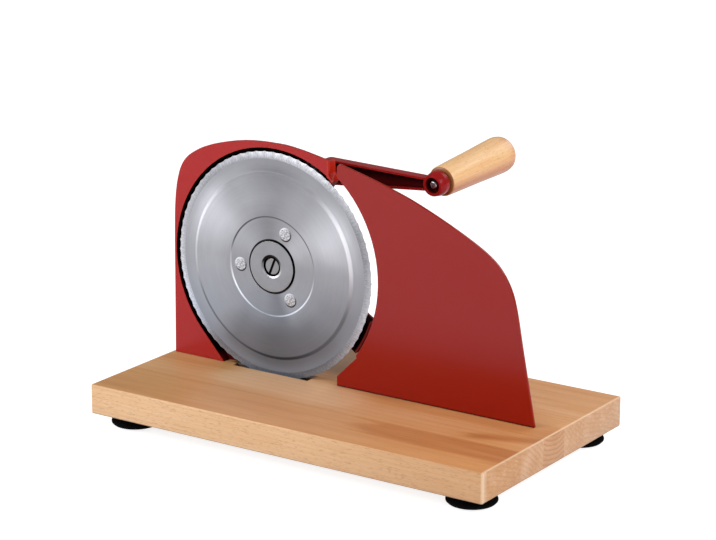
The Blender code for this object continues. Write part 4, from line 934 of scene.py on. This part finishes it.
BRACKET_SCREWS = ["bracket_screw_left", "bracket_screw_right"]
for name in ["frame_screw_1", "frame_screw_2", "frame_screw_3"] + BRACKET_SCREWS:
    low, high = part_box(name)
    seat = Vector(((low.x + high.x) / 2, (low.y + high.y) / 2, high.z - PAN_HEIGHT * MM))
    pan_screw(name + "_shown", seat, Z_AXIS, "base", [name])

# Frame, bracket and carriage, with eased edges
dress(refined("frame", 0.45 * MM, 40), FRAME_RED, "base", ["frame"])
dress(refined("bracket", 0.6 * MM, 40), RED, "base", ["bracket"])
dress(refined("carriage", 0.5 * MM, 40), RED, "stop", ["carriage"])

# Blade: brushed plateau, step, flat ring and a hollow-ground scalloped rim, in millimetres
SCALLOPS = 72
STEPS_PER_SCALLOP = 12
SCALLOP_DEPTH = 0.6
RIM = BLADE_RADIUS / MM
PLATEAU = 0.81 * RIM
BEVEL_START = 88.8
# (radius, depth behind the rim plane) on the front; how far out over the ground rim its rings
# lie, as shares; and (radius, depth) on the back
BLADE_FACE = [
    (22.9, -1.12),
    (23.1, -1.15),
    (40.7, -1.15),
    (41.1, -1.20),
    (41.6, -1.45),
    (42.0, -1.50),
    (PLATEAU - 1.2, -1.50),
    (PLATEAU - 0.5, -1.35),
    (PLATEAU + 0.7, -0.30),
    (PLATEAU + 1.8, 0.0),
    (BEVEL_START - 0.1, 0.0),
]
BLADE_GRIND = [0.0, 0.15, 0.35, 0.6, 0.85, 1.0]
BLADE_BACK = [(92.5, 1.4), (PLATEAU + 0.7, 1.4), (PLATEAU - 0.7, -0.1), (22.9, -0.1)]


def blade_mesh():
    count = SCALLOPS * STEPS_PER_SCALLOP
    bm = bmesh.new()
    rings = []

    def ring(radius_at, depth_at):
        verts = []
        for i in range(count):
            angle = math.tau * i / count
            hollow = math.sin(math.pi * (i % STEPS_PER_SCALLOP) / STEPS_PER_SCALLOP)
            radius, depth = radius_at(hollow) * MM, depth_at(hollow) * MM
            verts.append(bm.verts.new((radius * math.cos(angle), radius * math.sin(angle), depth)))
        rings.append(verts)

    for radius, depth in BLADE_FACE:
        ring(lambda hollow: radius, lambda hollow: depth)
    for share in BLADE_GRIND:
        ring(
            lambda hollow: BEVEL_START + share * (RIM - BEVEL_START - SCALLOP_DEPTH * hollow),
            lambda hollow: share * (0.95 + 0.14 * hollow * share),
        )
    ring(lambda hollow: RIM - SCALLOP_DEPTH * hollow, lambda hollow: 1.3)
    for radius, depth in BLADE_BACK:
        ring(lambda hollow: radius, lambda hollow: depth)
    for first, second in zip(rings, rings[1:] + rings[:1]):
        for i in range(count):
            j = (i + 1) % count
            bm.faces.new((first[i], first[j], second[j], second[i]))
    return bm


blade_place = along(BLADE_AXIS + Vector((0, FRONT, 0)), Y_AXIS)
blade = new_object("blade_shown", blade_mesh(), blade_place)
dress(blade, BLADE_STEEL, "blade_group", ["blade"])

# Rivets: flat heads, shanks and domed ends
for name in ("rivet_1", "rivet_2", "rivet_3"):
    low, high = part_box(name)
    spot = Vector(((low.x + high.x) / 2, 0, (low.z + high.z) / 2))
    head, end = low.y / MM, high.y / MM
    profile = [
        (0, head - 0.2, 0),
        (4.5, head - 0.15, 0.4),
        (4.85, head + 0.05, 0.1),
        (4.85, head + 0.4, 0.1),
        (2.6, head + 1.1, 0),
        (2.6, end - 1.8, 0),
        (4.7, end - 1.8, 0.2),
        (3.3, end - 0.5, 0.8),
        (0, end, 0),
    ]
    rivet = lathe(name + "_shown", profile, spot, Y_AXIS, 48)
    dress(rivet, RIVET_STEEL, "blade_group", [name])

# Hub cap with a dished seat, and the slotted screw in it
CAP_RADIUS = 21.25
low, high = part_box("hub_cap")
cap_front, cap_back = low.y / MM, high.y / MM
CAP = [
    (CAP_RADIUS, cap_front + 0.3, 0.3),
    (10.0, cap_front + 0.3, 0.4),
    (8.2, cap_front + 0.9, 0.2),
    (8.2, cap_front + 2.9, 0.1),
    (4.3, cap_front + 2.9, 0.1),
    (4.3, cap_back, 0.1),
    (CAP_RADIUS, cap_back, 0.3),
]
cap = lathe("hub_cap_shown", CAP, BLADE_AXIS, Y_AXIS, 160)
dress(cap, CAP_STEEL, "base", ["hub_cap"])
low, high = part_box("hub_screw")
head_front, screw_back = low.y / MM, high.y / MM
HUB_SCREW = [
    (0, head_front, 0),
    (6.65, head_front, 0.35),
    (6.7, head_front + 1.3, 0.1),
    (4.0, head_front + 1.3, 0.1),
    (4.0, screw_back, 0.3),
    (0, screw_back, 0),
]
hub_screw = lathe("hub_screw_shown", HUB_SCREW, BLADE_AXIS, Y_AXIS, 128)
slot_cutter = box_object("slot", Vector((-10, -3, -1.1)) * MM, Vector((10, 1.0, 1.1)) * MM)
head_middle = Matrix.Translation((BLADE_AXIS.x, low.y, BLADE_AXIS.z))
slot_cutter.matrix_world = head_middle @ Matrix.Rotation(-HUB_SLOT_ANGLE, 4, "Y")
bpy.context.view_layer.update()
cut(hub_screw, slot_cutter)
dress(edge_round(hub_screw, 0.12 * MM, 2, 50), SCREW_STEEL, "base", ["hub_screw"])

# Stop plate and crank arm
dress(refined("stop_plate", 0.5 * MM, 40, 3), PLATE_RED, "stop", ["stop_plate"])
dress(refined("crank_arm", 0.35 * MM, 40), ARM_RED, "crank", ["crank_arm"])

# Handle screw, washer, pin and the turned grip
pan_screw(
    "handle_screw_shown",
    BOSS_POINT + HANDLE_LEAN * 3.1 * MM,
    -HANDLE_LEAN,
    "crank",
    ["handle_screw"],
    head=3.8,
    height=2.9,
    length=14.0,
    shank=2.0,
)
near, far = WOOD_START / MM, WOOD_END / MM
GRIP = [
    (4.6, near, 0),
    (9.8, near, 0),
    (11.5, near + 0.6, 0.8),
    (12.3, near + 2.2, 2.0),
    (13.05, near + 23.0, 120),
    (13.8, near + 47.8, 150),
    (14.45, near + 63.0, 150),
    (15.15, near + 81.0, 30),
    (15.0, far - 5.0, 8),
    (13.9, far - 2.2, 4),
    (11.6, far - 0.5, 3),
    (9.4, far, 2),
    (7.8, far, 0.3),
    (7.6, far - 6.0, 0),
    (4.6, far - 6.0, 0),
]
grip = lathe("handle_shown", GRIP, BOSS_POINT, HANDLE_LEAN, 128)
dress(grip, HANDLE_WOOD, "grip", ["handle"])
PIN = [
    (2.3, near, 0),
    (4.2, near, 0),
    (4.2, far - 5.5, 0),
    (7.0, far - 5.5, 0.2),
    (7.0, far - 3.4, 0.8),
    (4.5, far - 1.8, 2),
    (0, far - 1.2, 0),
    (0, near + 15, 0),
    (2.3, near + 14, 0),
]
pin = lathe("handle_pin_shown", PIN, BOSS_POINT, HANDLE_LEAN, 64)
dress(pin, STEEL, "crank", ["handle_pin"])
WASHER = [(2.4, 9.2, 0), (6.8, 9.2, 0.2), (6.8, 10.9, 0.2), (2.4, 10.9, 0)]
washer = lathe("handle_washer_shown", WASHER, BOSS_POINT, HANDLE_LEAN, 64)
dress(washer, STEEL, "crank", ["handle_washer"])

# Washer, nut, shaft and bush on the crank axis
low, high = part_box("crank_washer")
front, back = low.y / MM, high.y / MM
WASHER = [(3.4, front, 0), (7.5, front, 0.2), (7.5, back, 0.2), (3.4, back, 0)]
washer = lathe("crank_washer_shown", WASHER, CRANK_AXIS, Y_AXIS, 64)
dress(washer, STEEL, "crank", ["crank_washer"])
dress(refined("crank_nut", 0.3 * MM, 30), STEEL, "crank", ["crank_nut"])
low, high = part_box("crank_shaft")
front, back = low.y / MM, high.y / MM
SHAFT = [
    (0, front, 0),
    (4.7, front, 0.4),
    (4.7, back - 8.1, 0.2),
    (3.05, back - 8.1, 0),
    (3.05, back, 0.5),
    (0, back, 0),
]
shaft = lathe("crank_shaft_shown", SHAFT, CRANK_AXIS, Y_AXIS, 64)
dress(shaft, STEEL, "crank", ["crank_shaft"])
low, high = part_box("crank_bush")
front, back = low.y / MM, high.y / MM
BUSH = [
    (5.0, front, 0),
    (7.1, front, 0),
    (7.1, back - 0.9, 0),
    (9.3, back - 0.9, 0.1),
    (9.3, back, 0.3),
    (5.0, back, 0.2),
]
bush = lathe("crank_bush_shown", BUSH, CRANK_AXIS, Y_AXIS, 64)
dress(bush, BRASS, "base", ["crank_bush"])

# Guide of the stop plate
for name in ("guide_rod_left", "guide_rod_right"):
    low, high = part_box(name)
    spot = Vector(((low.x + high.x) / 2, 0, (low.z + high.z) / 2))
    front, back = low.y / MM, high.y / MM
    profile = [(0, front, 0), (4.0, front, 0.2), (4.0, back - 1, 0.5), (3.0, back, 0.3), (0, back, 0)]
    dress(lathe(name + "_shown", profile, spot, Y_AXIS, 64), STEEL, "stop", [name])

# Solids whose shapes stay as they are
for name, material in (
    ("gear_wheel", GEAR_PLASTIC),
    ("pinion", DARK_STEEL),
    ("spindle_nut", BRASS),
    ("spindle", STEEL),
    ("knob", KNOB_PLASTIC),
    ("knob_cap", STEEL),
):
    dress(nodes[name], material)

# Floor, light and camera


def seen_directly(tree, *others):
    """1 for a ray from the camera, or from one of the others, that meets the floor or the world."""
    path = tree.nodes.new("ShaderNodeLightPath")
    seen = path.outputs["Is Camera Ray"]
    for other in others:
        either = tree.nodes.new("ShaderNodeMath")
        either.operation = "MAXIMUM"
        tree.links.new(seen, either.inputs[0])
        tree.links.new(path.outputs[other], either.inputs[1])
        seen = either.outputs[0]
    return seen


def backdrop():
    """A pale floor that shows as white where no shadow falls on it."""
    paint = Paint("pale_floor", Roughness=0.9, Specular_IOR_Level=0.0)
    pale = paint.mix(paint.noise(paint.place(), 3.0), gray(0.86), gray(0.90))
    paint.fill(paint.surface, {"Base Color": pale})
    shadowed = paint.tree.nodes.new("ShaderNodeBsdfDiffuse")
    shadowed.inputs["Color"].default_value = (0.45, 0.45, 0.45, 1)
    glow = paint.tree.nodes.new("ShaderNodeEmission")
    glow.inputs["Strength"].default_value = 0.84
    white = paint.tree.nodes.new("ShaderNodeAddShader")
    paint.tree.links.new(shadowed.outputs[0], white.inputs[0])
    paint.tree.links.new(glow.outputs[0], white.inputs[1])
    either = paint.tree.nodes.new("ShaderNodeMixShader")
    seen = seen_directly(paint.tree, "Is Glossy Ray", "Is Transmission Ray")
    paint.tree.links.new(seen, either.inputs[0])
    paint.tree.links.new(paint.surface.outputs[0], either.inputs[1])
    paint.tree.links.new(white.outputs[0], either.inputs[2])
    paint.tree.links.new(either.outputs[0], paint.output.inputs[0])
    return paint.material


floor = box_object("floor", (-4, -4, -0.02), (4, 4, -0.0002))
floor.data.materials.append(backdrop())


def area_light(name, place, aim, size, power):
    light = bpy.data.lights.new(name, "AREA")
    light.shape = "RECTANGLE"
    light.size, light.size_y = size
    light.energy = power
    obj = bpy.data.objects.new(name, light)
    obj.location = place
    obj.rotation_euler = (Vector(aim) - Vector(place)).to_track_quat("-Z", "Y").to_euler()
    bpy.context.scene.collection.objects.link(obj)


area_light("key", (-1.0, -1.2, 0.85), (0, 0, 0.1), (0.8, 0.7), 16.5)
area_light("side", (2.2, -0.4, 1.5), (0, 0, 0.1), (1.2, 1.2), 34)
area_light("back", (0.6, 2.6, 1.6), (0, 0, 0.1), (1.6, 1.2), 18)

# World: white to the camera and through glass, dimmer as a light and in mirrorings
world = bpy.data.worlds.new("studio")
bpy.context.scene.world = world
world.use_nodes = True
tree = world.node_tree
background = tree.nodes["Background"]
background.inputs["Color"].default_value = (1, 1, 1, 1)
level = tree.nodes.new("ShaderNodeMapRange")
level.inputs["To Min"].default_value = 0.40
level.inputs["To Max"].default_value = 1.0
tree.links.new(seen_directly(tree, "Is Transmission Ray"), level.inputs["Value"])
mirrored = tree.nodes.new("ShaderNodeMath")
mirrored.operation = "MULTIPLY_ADD"
tree.links.new(tree.nodes.new("ShaderNodeLightPath").outputs["Is Glossy Ray"], mirrored.inputs[0])
mirrored.inputs[1].default_value = -0.18
tree.links.new(level.outputs[0], mirrored.inputs[2])
tree.links.new(mirrored.outputs[0], background.inputs["Strength"])

# Camera, at the photograph's angle
camera = bpy.data.cameras.new("camera")
camera.sensor_width = 36
camera.lens = 132.1
camera.clip_end = 20
eye = bpy.data.objects.new("camera", camera)
eye.location = (1.1127, -1.6752, 0.70606)
eye.rotation_euler = [math.radians(a) for a in (74.106, -0.1545, 33.743)]
bpy.context.scene.collection.objects.link(eye)
bpy.context.scene.camera = eye
bpy.context.scene.view_settings.view_transform = "Standard"
